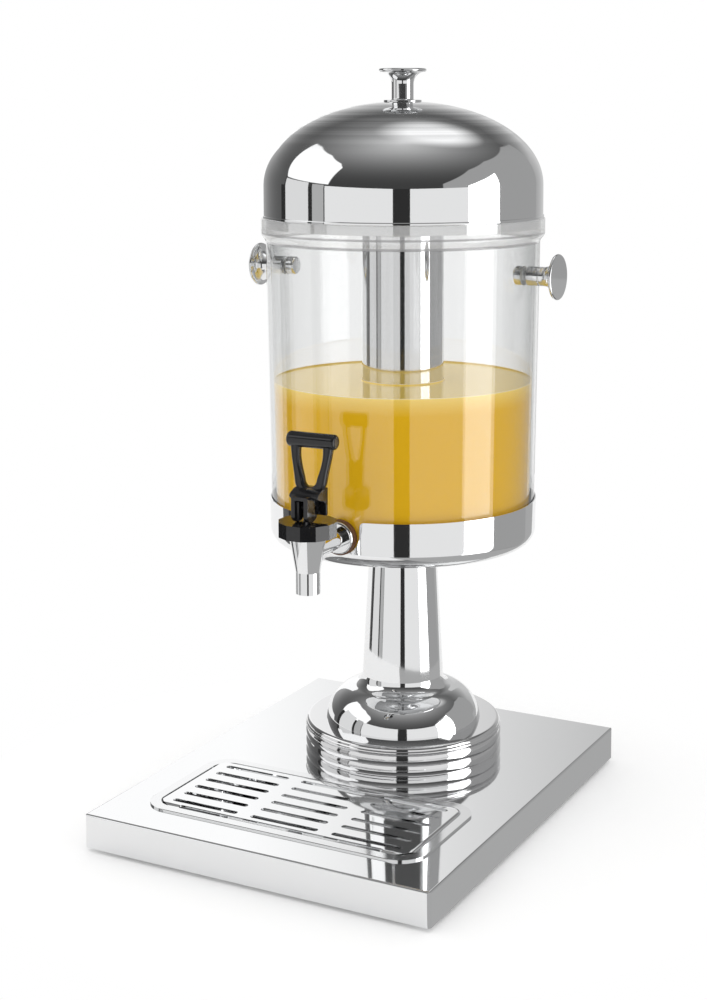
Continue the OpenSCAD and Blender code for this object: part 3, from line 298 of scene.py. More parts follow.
# Column: one spun stainless tube with a bell foot, closed above by a plug; a
# threaded rod through it clamps plug, column, drum and base together.
COLUMN_TOP_R, COLUMN_LOW_R, COLUMN_RISE, COLUMN_LOW = 26.5, 32.6, 143.7, 30.7
FLARE_R, BELL_R, BELL = 11.0, 28.75, Vector((33.5, -2.1))
lean = math.atan((COLUMN_LOW_R - COLUMN_TOP_R) / (COLUMN_RISE - COLUMN_LOW))
along = Vector((-math.sin(lean), math.cos(lean)))
outward = Vector((math.cos(lean), math.sin(lean)))
gap = Vector((COLUMN_LOW_R, COLUMN_LOW)) + FLARE_R * outward - BELL
slide = math.sqrt(gap.dot(along) ** 2 - gap.length_squared + (BELL_R + FLARE_R) ** 2) - gap.dot(along)
flare = BELL + gap + slide * along
meet = math.degrees(math.atan2(flare.y - BELL.y, flare.x - BELL.x))
foot_angle = math.degrees(math.asin(-BELL.y / BELL_R))
column_line = bend(BELL, BELL_R, foot_angle, meet, 28)
column_line += bend(flare, FLARE_R, meet + 180, math.degrees(lean) + 180, 14)[1:]
column_line += [(COLUMN_TOP_R, COLUMN_RISE), (0, COLUMN_RISE), (0, 0)]
column_line = [(r, z + DRUM_TOP) for r, z in column_line]
fit(turned("column", column_line), sheet_polish, "base", "polished_steel", "column")
for node in ("column_head", "tie_rod", "tie_rod_washer", "tie_rod_nut"):
    wear(node, plain_steel)


# Pan: a spun stainless dish, screwed on the column's plug and notched at the
# front for the tap. A soft ring inside it carries the tank.
TANK_LOW, TANK_R, TANK_FLARE = 204.2, 104.3, 3.9
SHOULDER_LOW, SHOULDER_TOP, TANK_TOP = 436.2, 443.5, 455.0


def tank_r(height):
    """The tank's outer radius at a height, in mm."""
    return TANK_R + TANK_FLARE * (height - TANK_LOW) / (SHOULDER_LOW - TANK_LOW)


PAN_LOW, PAN_TOP, PAN_WALL, PAN_CORNER, PAN_OUT = 197.0, 233.0, 1.0, 12.0, 1.4
pan_low_r, pan_top_r = tank_r(PAN_LOW) + PAN_OUT, tank_r(PAN_TOP) + PAN_OUT
corner_top = PAN_LOW + PAN_CORNER
pan_line = [(0, PAN_LOW), (pan_low_r - PAN_CORNER, PAN_LOW)]
pan_line += bend((pan_low_r - PAN_CORNER, corner_top), PAN_CORNER, -90, 0, 16)[1:]
pan_line += [(pan_top_r, PAN_TOP), (pan_top_r - PAN_WALL, PAN_TOP)]
pan_line += bend((pan_low_r - PAN_CORNER, corner_top), PAN_CORNER - PAN_WALL, 0, -90, 16)
pan_line += [(0, PAN_LOW + PAN_WALL)]
pan = turned("pan", pan_line, steps=288)
NOTCH_R, NOTCH_Z, NOTCH_CORNER, NOTCH_OVER = 16.0, 223.0, 4.0, 5
NOTCH_FRONT, NOTCH_BACK = -60, 20
notch_half, notch_top = NOTCH_R + NOTCH_CORNER, PAN_TOP + NOTCH_OVER
notch = bend((0, NOTCH_Z), NOTCH_R, 180, 360, 24)
notch += bend((notch_half, PAN_TOP - NOTCH_CORNER), NOTCH_CORNER, 180, 90, 8)
notch += [(notch_half, notch_top), (-notch_half, notch_top)]
notch += bend((-notch_half, PAN_TOP - NOTCH_CORNER), NOTCH_CORNER, 90, 0, 8)


def block(name, ends, place=None):
    """The mesh of a block between two end outlines of (x, y, z) in mm."""
    shape = bmesh.new()
    ends = [[shape.verts.new((x * MM, y * MM, z * MM)) for x, y, z in end] for end in ends]
    shape.faces.new(ends[0])
    shape.faces.new(ends[1])
    for i in range(len(ends[0])):
        j = (i + 1) % len(ends[0])
        shape.faces.new((ends[0][i], ends[0][j], ends[1][j], ends[1][i]))
    return closed_mesh(name, shape, place)


def settle(piece, angle=FLAT_UP_TO):
    """Makes a piece's modifiers part of its mesh, and shades it smooth again."""
    graph = bpy.context.evaluated_depsgraph_get()
    left = bpy.data.meshes.new_from_object(piece.evaluated_get(graph))
    piece.modifiers.clear()
    piece.data = left
    smooth(piece, angle)


def cut_away(piece, tool_mesh):
    """Cuts a tool's shape out of a piece for good."""
    tool = added("cutting_tool", tool_mesh)
    piece.modifiers.clear()
    cut = piece.modifiers.new("cut", "BOOLEAN")
    cut.object, cut.operation, cut.solver = tool, "DIFFERENCE", "EXACT"
    settle(piece)
    bpy.data.objects.remove(tool)


notch_ends = [[(x, y, z) for x, z in notch] for y in (NOTCH_FRONT, NOTCH_BACK)]
cut_away(pan, block("notch_cutter", notch_ends))
fit(pan, sheet_polish, "base", "polished_steel", "bottom_pan")
wear("pan_screws", plain_steel)
soft = Finish("clear_rubber")
clear_rubber = soft.done(soft.node("BsdfPrincipled", inputs={
    "Base Color": soft.blend(soft.speckle(300.0), (0.66, 0.66, 0.64), (0.74, 0.74, 0.72)),
    "Roughness": 0.35 + 0.1 * soft.speckle(120.0), "Alpha": 0.6}))
for node in ("tank_seat_ring", "ice_tube_gasket", "handle_gasket_left",
             "handle_gasket_right", "tap_inner_washer"):
    wear(node, clear_rubber)


# Tank: injection-moulded clear plastic, slightly wider at the top, with a
# shoulder and a straight rim, drilled for the ice tube, tap and handles. The
# shoulder's two bends get painted shade, dark lines in its see-through tint,
# and the rim is slightly hazy.
TANK_FLOOR, TANK_WALL, TANK_CORNER, LIP, RIM_R, BEND_STEPS = 208.2, 3.5, 4.0, 0.6, 112.0, 10
tank_line = [(0, TANK_LOW)]
tank_line += bend((TANK_R - TANK_CORNER, TANK_LOW + TANK_CORNER), TANK_CORNER, -90, 0, 10)
wall_top = tank_r(SHOULDER_LOW)
shoulder = [
    (wall_top + (RIM_R - wall_top) * (0.5 - 0.5 * math.cos(math.pi * i / BEND_STEPS)),
     SHOULDER_LOW + (SHOULDER_TOP - SHOULDER_LOW) * (i / BEND_STEPS))
    for i in range(BEND_STEPS + 1)]
tank_line += shoulder
tank_line += bend((RIM_R - LIP, TANK_TOP - LIP), LIP, 0, 90, 5)
tank_line += bend((RIM_R - TANK_WALL + LIP, TANK_TOP - LIP), LIP, 90, 180, 5)
tank_line += [(radius - TANK_WALL, height) for radius, height in shoulder[::-1]]
tank_line += [(tank_r(TANK_FLOOR) - TANK_WALL, TANK_FLOOR), (0, TANK_FLOOR)]
CLEAR_TINT, EDGE_TINT, SHOULDER_SHADE_TINT = (0.965, 0.967, 0.967), (0.78, 0.79, 0.79), (0.55, 0.55, 0.55)
MIRROR_LEAST, MIRROR_GAIN, RIM_HAZE = 0.045, 0.9, 0.2
SHADE_LINES_LOW, SHADE_LINES_SPAN = 430.0, 30.0
clear = Finish("clear_plastic")
glance = clear.node("LayerWeight", inputs={"Blend": 0.5}, out=1)
mirrored = MIRROR_LEAST + MIRROR_GAIN * glance ** 4.0
_, (_, _, level) = clear.place()
hazy = (level > SHOULDER_LOW * MM) * RIM_HAZE
# Painted shade: two dark bands at the shoulder's bends darken the clear wall's tint there.
painted_shoulder_lines = clear.ramp((level - SHADE_LINES_LOW * MM) / (SHADE_LINES_SPAN * MM), [
    (0.0, 0.0), (0.19, 0.0), (0.21, 1.0), (0.25, 1.0), (0.28, 0.0), (0.43, 0.0),
    (0.45, 1.0), (0.48, 1.0), (0.5, 0.0), (1.0, 0.0)])
plain, edge_on, shoulder_shade = [
    clear.node("BsdfTransparent", inputs={"Color": (*tint, 1)})
    for tint in (CLEAR_TINT, EDGE_TINT, SHOULDER_SHADE_TINT)]
seen_through = clear.mix(painted_shoulder_lines, clear.mix(glance ** 3.0, plain, edge_on), shoulder_shade)
skin = clear.node("BsdfPrincipled", inputs={
    "Base Color": (1, 1, 1, 1), "Metallic": 1.0,
    "Roughness": 0.015 + 0.02 * clear.speckle(25.0)})
haze = clear.node("BsdfDiffuse", inputs={"Color": (0.98, 0.98, 0.98, 1)})
clear_plastic = clear.done(clear.mix(hazy, clear.mix(mirrored, seen_through, skin), haze))
tank = turned("tank_shell", tank_line, steps=288)
fit(tank, clear_plastic, "tank", "clear_plastic", "tank")


# Juice: cloudy orange juice that fills the tank to under half, drawn up a
# little at the walls. It is painted lighter near its surface, where light comes
# in, and gives off a painted glow, stronger near the top.
JUICE_TOP, JUICE_GAP, TUBE_R, MENISCUS = 326.6, 0.3, 32.4, 1.2
LIT_DEPTH, SURFACE_SHARE = 14.0, 0.02
JUICE_LIT, JUICE_DEEP = (0.95, 0.72, 0.20), (0.82, 0.475, 0.012)
PULP_TINT, FROTH_AND_SHEEN_TINT = (0.98, 0.68, 0.05), (1.0, 0.95, 0.87)
PAINTED_GLOW_TOP, PAINTED_GLOW_DEEP = (0.15, 0.11, 0.026), (0.11, 0.064, 0.0015)
juice_r = tank_r(JUICE_TOP) - TANK_WALL - JUICE_GAP
juice_line = [(TUBE_R + JUICE_GAP, TANK_FLOOR + JUICE_GAP),
              (tank_r(TANK_FLOOR) - TANK_WALL - JUICE_GAP, TANK_FLOOR + JUICE_GAP),
              (juice_r, JUICE_TOP)]
juice_line += bend((juice_r - MENISCUS, JUICE_TOP), MENISCUS, 0, -90, 6)[1:]
juice_line += bend((TUBE_R + JUICE_GAP + MENISCUS, JUICE_TOP), MENISCUS, 270, 180, 6)
drink = Finish("orange_juice")
_, (_, _, depth) = drink.place()
below = (JUICE_TOP * MM - depth) / (LIT_DEPTH * MM)
under = below.clamped()
pulp = drink.speckle(160.0, detail=6.0, roughness=0.7)
# Painted light: the side colour goes lighter toward the surface, where light comes in.
side = drink.blend(under ** 0.6, JUICE_LIT, JUICE_DEEP)
side = drink.blend(0.12 * pulp, side, PULP_TINT)
# Froth with a painted reflection: the thin top skin is painted pale cream, as froth and as the white it
# reflects.
side = drink.blend(below < SURFACE_SHARE, side, FROTH_AND_SHEEN_TINT)
# Painted glow: the emission stands in for light scattered inside the juice, stronger near the top.
orange_juice = drink.done(drink.node("BsdfPrincipled", inputs={
    "Base Color": side, "Roughness": 0.05 + 0.05 * pulp, "IOR": 1.35,
    "Emission Color": drink.blend(under, PAINTED_GLOW_TOP, PAINTED_GLOW_DEEP), "Emission Strength": 1.0,
    "Normal": drink.node("Bump", inputs={"Height": pulp, "Strength": 0.05, "Distance": 0.0002})}))
fit(turned("juice_fill", juice_line, steps=288), orange_juice, "tank", "juice", "juice")


# Ice tube: deep-drawn stainless, with a rolled rim, open above; a stud welded
# under it goes through the tank's floor to a gasket, washer and nut.
TUBE_LOW, TUBE_TOP, TUBE_WALL, BEAD_R, TUBE_CORNER = 209.7, 452.0, 1.0, 1.6, 3.0
STUD_R, STUD_LOW = 6.0, 199.2
bead = (TUBE_R - TUBE_WALL / 2, TUBE_TOP - BEAD_R)
tube_line = [(0, STUD_LOW), (STUD_R, STUD_LOW), (STUD_R, TUBE_LOW)]
tube_line += bend((TUBE_R - TUBE_CORNER, TUBE_LOW + TUBE_CORNER), TUBE_CORNER, -90, 0, 8)
tube_line += bend(bead, BEAD_R, -72, 252, 20)
tube_line += [(TUBE_R - TUBE_WALL, TUBE_LOW + TUBE_WALL), (0, TUBE_LOW + TUBE_WALL)]
tube_polish = polished("tube_polish", (0.86, 0.86, 0.865), 0.05, haze=0.03)
fit(turned("ice_tube_skin", tube_line, steps=160), tube_polish, "tank", "polished_steel", "ice_tube")
for node in ("ice_tube_washer", "ice_tube_nut", "lid_knob_screw", "lid_knob_washer",
             "tap_lock_nut", "tap_spring", "tap_stem", "lever_pin"):
    wear(node, plain_steel)


# Side handles: turned brass, chromed, each on a stud through the tank's wall,
# with a soft gasket and a round nut inside.
HANDLE_Z, HANDLE_R, HANDLE_LEN, DISC_R, DISC_T = 412.7, 7.4, 24.5, 17.6, 2.3
HANDLE_FLARE, GROOVE_AT, HANDLE_GROOVE, GASKET_T, NUT_R, NUT_LEN, NUT_EDGE = 9.6, 9.5, 0.8, 1.2, 7.4, 6.5, 2.0
handle_wall = tank_r(HANDLE_Z)
handle_reach = handle_wall + HANDLE_LEN
disc_in = handle_reach - DISC_T
plating = polished("chrome_plate", (0.86, 0.865, 0.87), 0.03)
handle_line = [(0, handle_wall), (HANDLE_R, handle_wall)]
handle_line += bend((HANDLE_R, handle_wall + GROOVE_AT), HANDLE_GROOVE, 270, 90, 8)
handle_line += bend((HANDLE_R + HANDLE_FLARE, disc_in - HANDLE_FLARE), HANDLE_FLARE, 180, 90, 16)
handle_line += bend((DISC_R - DISC_T / 2, handle_reach - DISC_T / 2), DISC_T / 2, -90, 90, 10)
handle_line += [(0, handle_reach)]
nut_out = handle_wall - TANK_WALL - GASKET_T
nut_line = [(0, nut_out - NUT_LEN)]
nut_line += bend((NUT_R - NUT_EDGE, nut_out - NUT_LEN + NUT_EDGE), NUT_EDGE, -90, 0, 8)
nut_line += [(NUT_R, nut_out), (0, nut_out)]
handle_middle = Matrix.Translation((0, TANK_AXIS[1] * MM, HANDLE_Z * MM))
for side_name, turn in (("left", -90), ("right", 90)):
    aim = handle_middle @ Matrix.Rotation(math.radians(turn), 4, "Y")
    handle = turned("handle_knob_" + side_name, handle_line, 96, aim)
    fit(handle, plating, "tank", "chrome", "handle_" + side_name)
    cap = turned("handle_cap_" + side_name, nut_line, 72, aim)
    fit(cap, plating, "tank", "chrome", "handle_nut_" + side_name)


# Tap: a chromed brass body with a tapering spout and a shank through the
# tank's wall, held by a domed ring and gasket outside and a nut inside.
for node in ("tap_body", "tap_ring"):
    wear(node, plating)
brown = Finish("brown_rubber")
brown_rubber = brown.done(brown.node("BsdfPrincipled", inputs={
    "Base Color": brown.blend(brown.speckle(400.0), (0.11, 0.045, 0.018), (0.17, 0.075, 0.03)),
    "Roughness": 0.4 + 0.2 * brown.speckle(250.0)}))
wear("tap_gasket", brown_rubber)
wear("tap_seal", black_rubber)


# Collar and lever: moulded glossy black plastic. The twelve-sided collar
# closes the tap's chamber; the lever pivots on a pin through the stem.
glossy = Finish("black_plastic")
dimple = glossy.speckle(220.0, detail=2.0)
black_plastic = glossy.done(glossy.node("BsdfPrincipled", inputs={
    "Base Color": glossy.blend(dimple, (0.008, 0.008, 0.009), (0.014, 0.014, 0.015)),
    "Roughness": 0.05 + 0.06 * dimple, "IOR": 1.5,
    "Normal": glossy.node("Bump", inputs={"Height": dimple, "Strength": 0.08, "Distance": 0.0002})}))
wear("tap_collar", black_plastic)
PIN_Y, PIN_Z = -88.5, 253.0
HALF_BAR, BAR_R, BAR_EDGE, BAR_RISE, BAR_BACK = 20.0, 5.7, 2.4, 48.0, 8.0
pin = Matrix.Translation((0, PIN_Y * MM, PIN_Z * MM))
bar_line = [(0, -HALF_BAR)]
bar_line += bend((BAR_R - BAR_EDGE, BAR_EDGE - HALF_BAR), BAR_EDGE, -90, 0, 8)
bar_line += bend((BAR_R - BAR_EDGE, HALF_BAR - BAR_EDGE), BAR_EDGE, 0, 90, 8)
bar_line += [(0, HALF_BAR)]
lay = pin @ Matrix.Translation((0, BAR_BACK * MM, BAR_RISE * MM)) @ Matrix.Rotation(math.pi / 2, 4, "Y")
fit(turned("lever_bar", bar_line, 64, lay), black_plastic, "lever", "black_plastic", "tap_lever")


def soften(piece, edge):
    """Rounds a piece's corners by a radius in mm."""
    piece.modifiers.clear()
    rounding = piece.modifiers.new("rounding", "BEVEL")
    rounding.width, rounding.segments, rounding.limit_method = edge * MM, 3, "ANGLE"
    rounding.angle_limit = math.radians(40)
    settle(piece, 50)


def slab(name, outline, half_width):
    """A block across the lever, from its outline of (back, up) in mm."""
    ends = [[(x, y, z) for y, z in outline] for x in (-half_width, half_width)]
    return added(name, block(name, ends, pin))


LOBE_R, LOBE_OUT, FORK_FRONT, FORK_RISE, FORK_HALF, FORK_EDGE = 9.5, 5.0, 12.6, 10.0, 6.75, 0.6
YOKE_BACK, YOKE_DROP, YOKE_HALF, YOKE_EDGE, YOKE_TOP, YOKE_SLANT = 9.6, 6.5, 11.75, 0.9, 14.4, 0.3
SLOT_HALF, SLOT_FRONT, SLOT_BACK, SLOT_LOW, SLOT_TOP = 3.5, -15, 6, -12, 7
yoke_line = [(YOKE_BACK, -YOKE_DROP)] + [(LOBE_R * y, LOBE_R * z) for y, z in (
    (0.74, -0.65), (0.72, 0.05), (0.6, 0.3), (0.35, 0.47), (-0.05, 0.58), (-0.45, 0.68), (-0.68, 0.8),
    (-0.72, 0.94), (-0.66, 1.08), (-0.5, 1.2), (-0.2, 1.34), (0.1, 1.46))]
yoke_line += [(YOKE_BACK + YOKE_SLANT, YOKE_TOP)]
yoke = slab("lever_yoke", yoke_line, YOKE_HALF)
soften(yoke, YOKE_EDGE)
fit(yoke, black_plastic, "lever", "black_plastic")
chord = math.degrees(math.acos((FORK_FRONT - LOBE_OUT) / LOBE_R))
fork_line = [(-FORK_FRONT, FORK_RISE)] + bend((-LOBE_OUT, 0), LOBE_R, 180 + chord, 360, 14)
fork_line += [(YOKE_BACK, 0), (YOKE_BACK, FORK_RISE)]
fork = slab("lever_fork", fork_line, FORK_HALF)
slot_line = [(SLOT_FRONT, SLOT_LOW), (SLOT_BACK, SLOT_LOW), (SLOT_BACK, SLOT_TOP), (SLOT_FRONT, SLOT_TOP)]
slot = slab("fork_slot", slot_line, SLOT_HALF)
cut_away(fork, slot.data)
bpy.data.objects.remove(slot)
soften(fork, FORK_EDGE)
fit(fork, black_plastic, "lever", "black_plastic")
ARM_TOP, ARM_LOW, LOOP_TURN, ARM_DEPTH = (13.4, 44.0), (9.3, 20.0), 9.2, 3.9
ARM_WIDTHS, ARM_LEAN, ARM_SQUARE, ARM_SIDES = (3.9, 3.0, 3.7), 0.085, 0.75, 24
ARM_BENDS = ((13.2, 38.0), (12.2, 32.0), (10.8, 26.0))
ARM_END = 46.0


def cut_corners(route):
    """A route with each corner cut off at a quarter of its sides."""
    inner = [
        (near * a[0] + (1 - near) * b[0], near * a[1] + (1 - near) * b[1])
        for a, b in zip(route, route[1:]) for near in (0.75, 0.25)]
    return [route[0]] + inner + [route[-1]]


def loop_arm(name):
    """The lever's loop: an oval bar bent round from one end of the top bar to the other."""
    up = [(ARM_TOP[0], ARM_END), ARM_TOP, *ARM_BENDS, ARM_LOW]
    route = [(-x, z) for x, z in up] + bend((0, ARM_LOW[1]), LOOP_TURN, 180, 360, 16)[1:-1] + up[::-1]
    route = cut_corners(cut_corners(route))
    shape = bmesh.new()
    rings = []
    for i, (x, z) in enumerate(route):
        before, after = route[max(i - 1, 0)], route[min(i + 1, len(route) - 1)]
        way = Vector((after[0] - before[0], after[1] - before[1])).normalized()
        rise = (z - ARM_LOW[1]) / (ARM_TOP[1] - ARM_LOW[1])
        wide = ARM_WIDTHS[1] + (ARM_WIDTHS[0] - ARM_WIDTHS[1]) * max(0.0, 2 * rise - 1) ** 2
        wide += (ARM_WIDTHS[2] - ARM_WIDTHS[1]) * max(0.0, 1 - 2 * max(rise, 0.0)) ** 2
        back = BAR_BACK + (z - BAR_RISE) * ARM_LEAN
        rings.append([])
        for k in range(ARM_SIDES):
            a = 2 * math.pi * k / ARM_SIDES
            out = wide * math.copysign(abs(math.cos(a)) ** ARM_SQUARE, math.cos(a))
            deep = ARM_DEPTH * math.copysign(abs(math.sin(a)) ** ARM_SQUARE, math.sin(a))
            spot = ((x - way.y * out) * MM, (back + deep) * MM, (z + way.x * out) * MM)
            rings[-1].append(shape.verts.new(spot))
    for here, there in zip(rings, rings[1:]):
        for k in range(ARM_SIDES):
            j = (k + 1) % ARM_SIDES
            shape.faces.new((here[k], here[j], there[j], there[k]))
    shape.faces.new(rings[0])
    shape.faces.new(rings[-1])
    piece = added(name, closed_mesh(name, shape, pin))
    smooth(piece, 60)
    return piece


fit(loop_arm("lever_loop"), black_plastic, "lever", "black_plastic")


# Lid: a dome spun from stainless sheet, polished in rings, with a bead round
# its edge, a skirt that sits in the tank's rim, and a turned knob screwed on.
LID_R, LID_T, WALL_TOP, DOME_H, POWER, DOME_STEPS = 110.4, 1.0, 480.0, 66.0, 2.05, 72
BEAD_OUT, BEAD_H = 0.7, 2.4


def dome_line(inset):
    """The dome's outline from its straight wall to its middle."""
    line = []
    for i in range(DOME_STEPS + 1):
        share = math.sin(math.radians(90 * (1 - i / DOME_STEPS)))
        rise = max(0.0, 1 - share ** POWER) ** (1 / POWER)
        line.append(((LID_R - inset) * share, WALL_TOP + (DOME_H - inset) * rise))
    return line


lid_line = [(LID_R - LID_T, TANK_TOP), (LID_R, TANK_TOP)]
lid_line += bend((LID_R, TANK_TOP + BEAD_OUT), BEAD_OUT, -90, 0, 6)
lid_line += bend((LID_R, TANK_TOP + BEAD_H - BEAD_OUT), BEAD_OUT, 0, 90, 6)
lid_line += dome_line(0) + dome_line(LID_T)[::-1]
RING_SCALE, ARC_SCALE, ARC_LEVEL, ARC_GAIN = 900.0, 120.0, 0.44, 8.0
CROWN_R, CROWN_FADE, CROWN_DULL = 104.0, 20.0, 0.09
BRIGHT_TINT, ARC_TINT = (0.87, 0.875, 0.88), (0.63, 0.635, 0.64)
spun = Finish("spun_polish")
_, (across, deep, _) = spun.place()
from_axis = (across ** 2.0 + (deep - TANK_AXIS[1] * MM) ** 2.0) ** 0.5
rings, arcs = [
    spun.node("TexNoise", {"noise_dimensions": "1D"}, {"W": from_axis, "Scale": scale, "Detail": 4.0})
    for scale in (RING_SCALE, ARC_SCALE)]
crown = ((CROWN_R * MM - from_axis) / (CROWN_FADE * MM)).clamped()
dulled = crown * ((arcs - ARC_LEVEL) * ARC_GAIN).clamped()
spun_polish = spun.done(spun.node("BsdfPrincipled", inputs={
    "Base Color": spun.blend(dulled, BRIGHT_TINT, ARC_TINT), "Metallic": 1.0,
    "Roughness": 0.025 + 0.02 * spun.speckle(14.0) + CROWN_DULL * dulled,
    "Normal": spun.node("Bump", inputs={"Height": rings, "Strength": 0.05, "Distance": 0.00003})}))
fit(turned("lid_shell", lid_line, steps=320), spun_polish, "lid", "polished_steel", "lid_dome")
wear("lid_skirt", sheet_polish)
KNOB_FOOT_R, KNOB_FOOT_T, KNOB_STEM_R, KNOB_TOP_R, KNOB_FILLET = 15.0, 0.9, 8.7, 18.8, 1.1
KNOB_RIM, KNOB_FLARE, KNOB_TOP, KNOB_SINK, FOOT_SINK = 2.6, 9.5, 571.5, 0.4, 0.9
dome_top = WALL_TOP + DOME_H
rim_low = KNOB_TOP - KNOB_RIM
knob_line = [(0, dome_top - KNOB_SINK), (KNOB_FOOT_R, dome_top - FOOT_SINK)]
knob_line += bend((KNOB_FOOT_R - KNOB_FOOT_T / 2, dome_top + KNOB_FOOT_T / 2), KNOB_FOOT_T / 2, 0, 90, 8)
knob_line += bend((KNOB_STEM_R + KNOB_FILLET, dome_top + KNOB_FOOT_T + KNOB_FILLET), KNOB_FILLET, 270, 180, 6)
knob_line += bend((KNOB_STEM_R + KNOB_FLARE, rim_low - KNOB_FLARE), KNOB_FLARE, 180, 90, 16)
knob_line += bend((KNOB_TOP_R - KNOB_RIM / 2, KNOB_TOP - KNOB_RIM / 2), KNOB_RIM / 2, -90, 90, 10)
knob_line += [(0, KNOB_TOP)]
fit(turned("lid_grip", knob_line, steps=128), plating, "lid", "chrome", "lid_knob")


# Studio: a white floor that runs into a white backdrop, lit from all round,
# with one large soft light at the upper left. Only the mirror surfaces see the
# room: pale panels, soft lights and dark gaps under a dark ceiling, each set
# out by its angle round the object, with 0 toward the viewer, and its height.
ACROSS, TOWARD = Vector((0.882, 0.4713)), Vector((0.4713, -0.882))
STEEL_SHARE = 0.87
RAYS = {"camera": 0, "diffuse": 2, "glossy": 3}


def shown(grey):
    """The light that polished metal shows as a grey from 0 to 255."""
    return ((grey / 255 + 0.055) / 1.055) ** 2.4 / STEEL_SHARE


def around(x, y):
    """The angle in degrees at which a way points, seen from above."""
    sideways = x * ACROSS.x + y * ACROSS.y
    return sideways.math("ARCTAN2", sideways, x * TOWARD.x + y * TOWARD.y) * math.degrees(1)


def slope(axis, start, end, first, last, curve=1.0):
    """Light that goes from one grey to another as an angle goes from start to end."""
    share = ((axis - start) / (end - start)).clamped() ** curve
    return shown(first) + (shown(last) - shown(first)) * share


def patch(turn, height, corners):
    """Where a way points into a flat panel, its corners listed anticlockwise."""
    mask = None
    for (x0, y0), (x1, y1) in zip(corners, corners[1:] + corners[:1]):
        span = math.hypot(x1 - x0, y1 - y0)
        side = (height - y0) * ((x1 - x0) / span) - (turn - x0) * ((y1 - y0) / span) + 0.5
        mask = side.clamped() if mask is None else mask * side.clamped()
    return mask


def ray(finish, kind):
    """1 where light reaches a surface by this kind of ray, else 0."""
    return finish.node("LightPath", out=RAYS[kind])


RIGHT_WALL = [(30, -30), (134, -30), (141, 30), (128, 38), (85, 40), (60, 33), (31, 11)]
OVERHEAD = [(-111, 12), (-64, 8), (-60, 38), (-66, 44), (-90, 50.5), (-120, 49), (-131, 45)]
LEFT_WALL_TURN, RIGHT_WALL_TURN, WALLS_LOW, WALLS_FADE = -113, 134, 14, 26
WALL_GREY, OVERHEAD_LIGHT, AIR_LIGHT = 152, 1.2, 0.95
GLOW_TURN, GLOW_RISE, GLOW_LIGHT, GLOW_EDGE, GLOW_BLUR, GLOW_CURVE = 145, 68, 1.12, 0.92, 0.065, 1.5
sky = Finish("studio_air", bpy.data.worlds.new("studio_air"))
bpy.context.scene.world = sky.block
way = sky.node("TexCoord", out=0)
aim_x, aim_y, aim_z = [sky.node("SeparateXYZ", inputs={"Vector": way}, out=i) for i in range(3)]
turn = around(aim_x, aim_y)
height = aim_z.math("ARCSINE", aim_z) * math.degrees(1)
low_down = 1.0 - ((height - WALLS_LOW) / WALLS_FADE).clamped()
back_left = slope(turn, LEFT_WALL_TURN, -180, first=85, last=205, curve=2.0)
back_right = slope(turn, 130, 180, first=149, last=215)
room = slope(height, 0, 90, first=60, last=206, curve=2.6)
room = sky.blend((turn < LEFT_WALL_TURN) * low_down, room, back_left)
room = sky.blend((turn > RIGHT_WALL_TURN) * low_down, room, back_right)
room = sky.blend(patch(turn, height, RIGHT_WALL), room, (shown(WALL_GREY),) * 3)
glow_level = TOWARD * math.cos(math.radians(GLOW_TURN)) + ACROSS * math.sin(math.radians(GLOW_TURN))
glow_way = glow_level * math.cos(math.radians(GLOW_RISE))
near = aim_x * glow_way.x + aim_y * glow_way.y + aim_z * math.sin(math.radians(GLOW_RISE))
glow = ((near - GLOW_EDGE) / GLOW_BLUR).clamped() ** GLOW_CURVE
room = sky.blend(glow, room, (GLOW_LIGHT,) * 3)
room = sky.blend(patch(turn, height, OVERHEAD), room, (OVERHEAD_LIGHT,) * 3)
air = sky.blend(ray(sky, "glossy"), (1.0, 1.0, 1.0), room)
air = sky.blend(ray(sky, "diffuse"), air, (AIR_LIGHT,) * 3)
sky.done(sky.node("Background", inputs={"Color": air}))

# The lower panels stand near, so they are a ring round the object: each has
# the angles where it starts and ends, its grey, and its height at both ends.
PANELS = [(-107, -80, 215, 0.70, 0.66), (-76, -65, 170, 0.63, 0.62), (-64, -9, 225, 0.59, 0.53),
          (4, 50, 225, 0.53, 0.55), (50, 79, 400, 0.60, 0.95)]
GAP_START, GAP_END, GAP_GREY, GAP_TOP, BACK_SPAN, BACK_TOP = -113, 79, 45, 0.53, 22, 0.74
ROOM_R, ROOM_LOW, ROOM_HIGH, SIDES = 1.2, -0.8, 1.0, 180
panels = Finish("room_panels")
_, spot = panels.place()
turn = around(spot[0], spot[1] - TANK_AXIS[1] * MM)
covered = (turn > GAP_START) * (turn < GAP_END) * (spot[2] < GAP_TOP)
panel_light = (shown(GAP_GREY),) * 3
for start, end, grey, start_top, end_top in PANELS:
    panel_top = (turn - start) * ((end_top - start_top) / (end - start)) + start_top
    held = (turn > start) * (turn < end) * (spot[2] < panel_top)
    panel_light = panels.blend(held, panel_light, (shown(grey),) * 3)
    covered = covered.math("MAXIMUM", covered, held)
past = around(spot[0] * -1.0, (spot[1] - TANK_AXIS[1] * MM) * -1.0)
behind = (past > -BACK_SPAN) * (past < BACK_SPAN) * (spot[2] < BACK_TOP)
panel_light = panels.blend(behind, panel_light, slope(past, -16, 10, first=190, last=250))
room_panels = panels.done(panels.mix(
    covered.math("MAXIMUM", covered, behind),
    panels.node("BsdfTransparent"),
    panels.node("Emission", inputs={"Color": panel_light})))
rounds = [2 * math.pi * i / SIDES for i in range(SIDES)]
wall_points = [
    (ROOM_R * math.cos(a), TANK_AXIS[1] * MM + ROOM_R * math.sin(a), z)
    for z in (ROOM_LOW, ROOM_HIGH) for a in rounds]
wall_faces = [(i, (i + 1) % SIDES, SIDES + (i + 1) % SIDES, SIDES + i) for i in range(SIDES)]
wall_mesh = bpy.data.meshes.new("room")
wall_mesh.from_pydata(wall_points, [], wall_faces)
wall_mesh.materials.append(room_panels)
room_wall = added("room", wall_mesh)
room_wall.visible_camera = room_wall.visible_diffuse = room_wall.visible_shadow = False
room_wall.visible_transmission = False

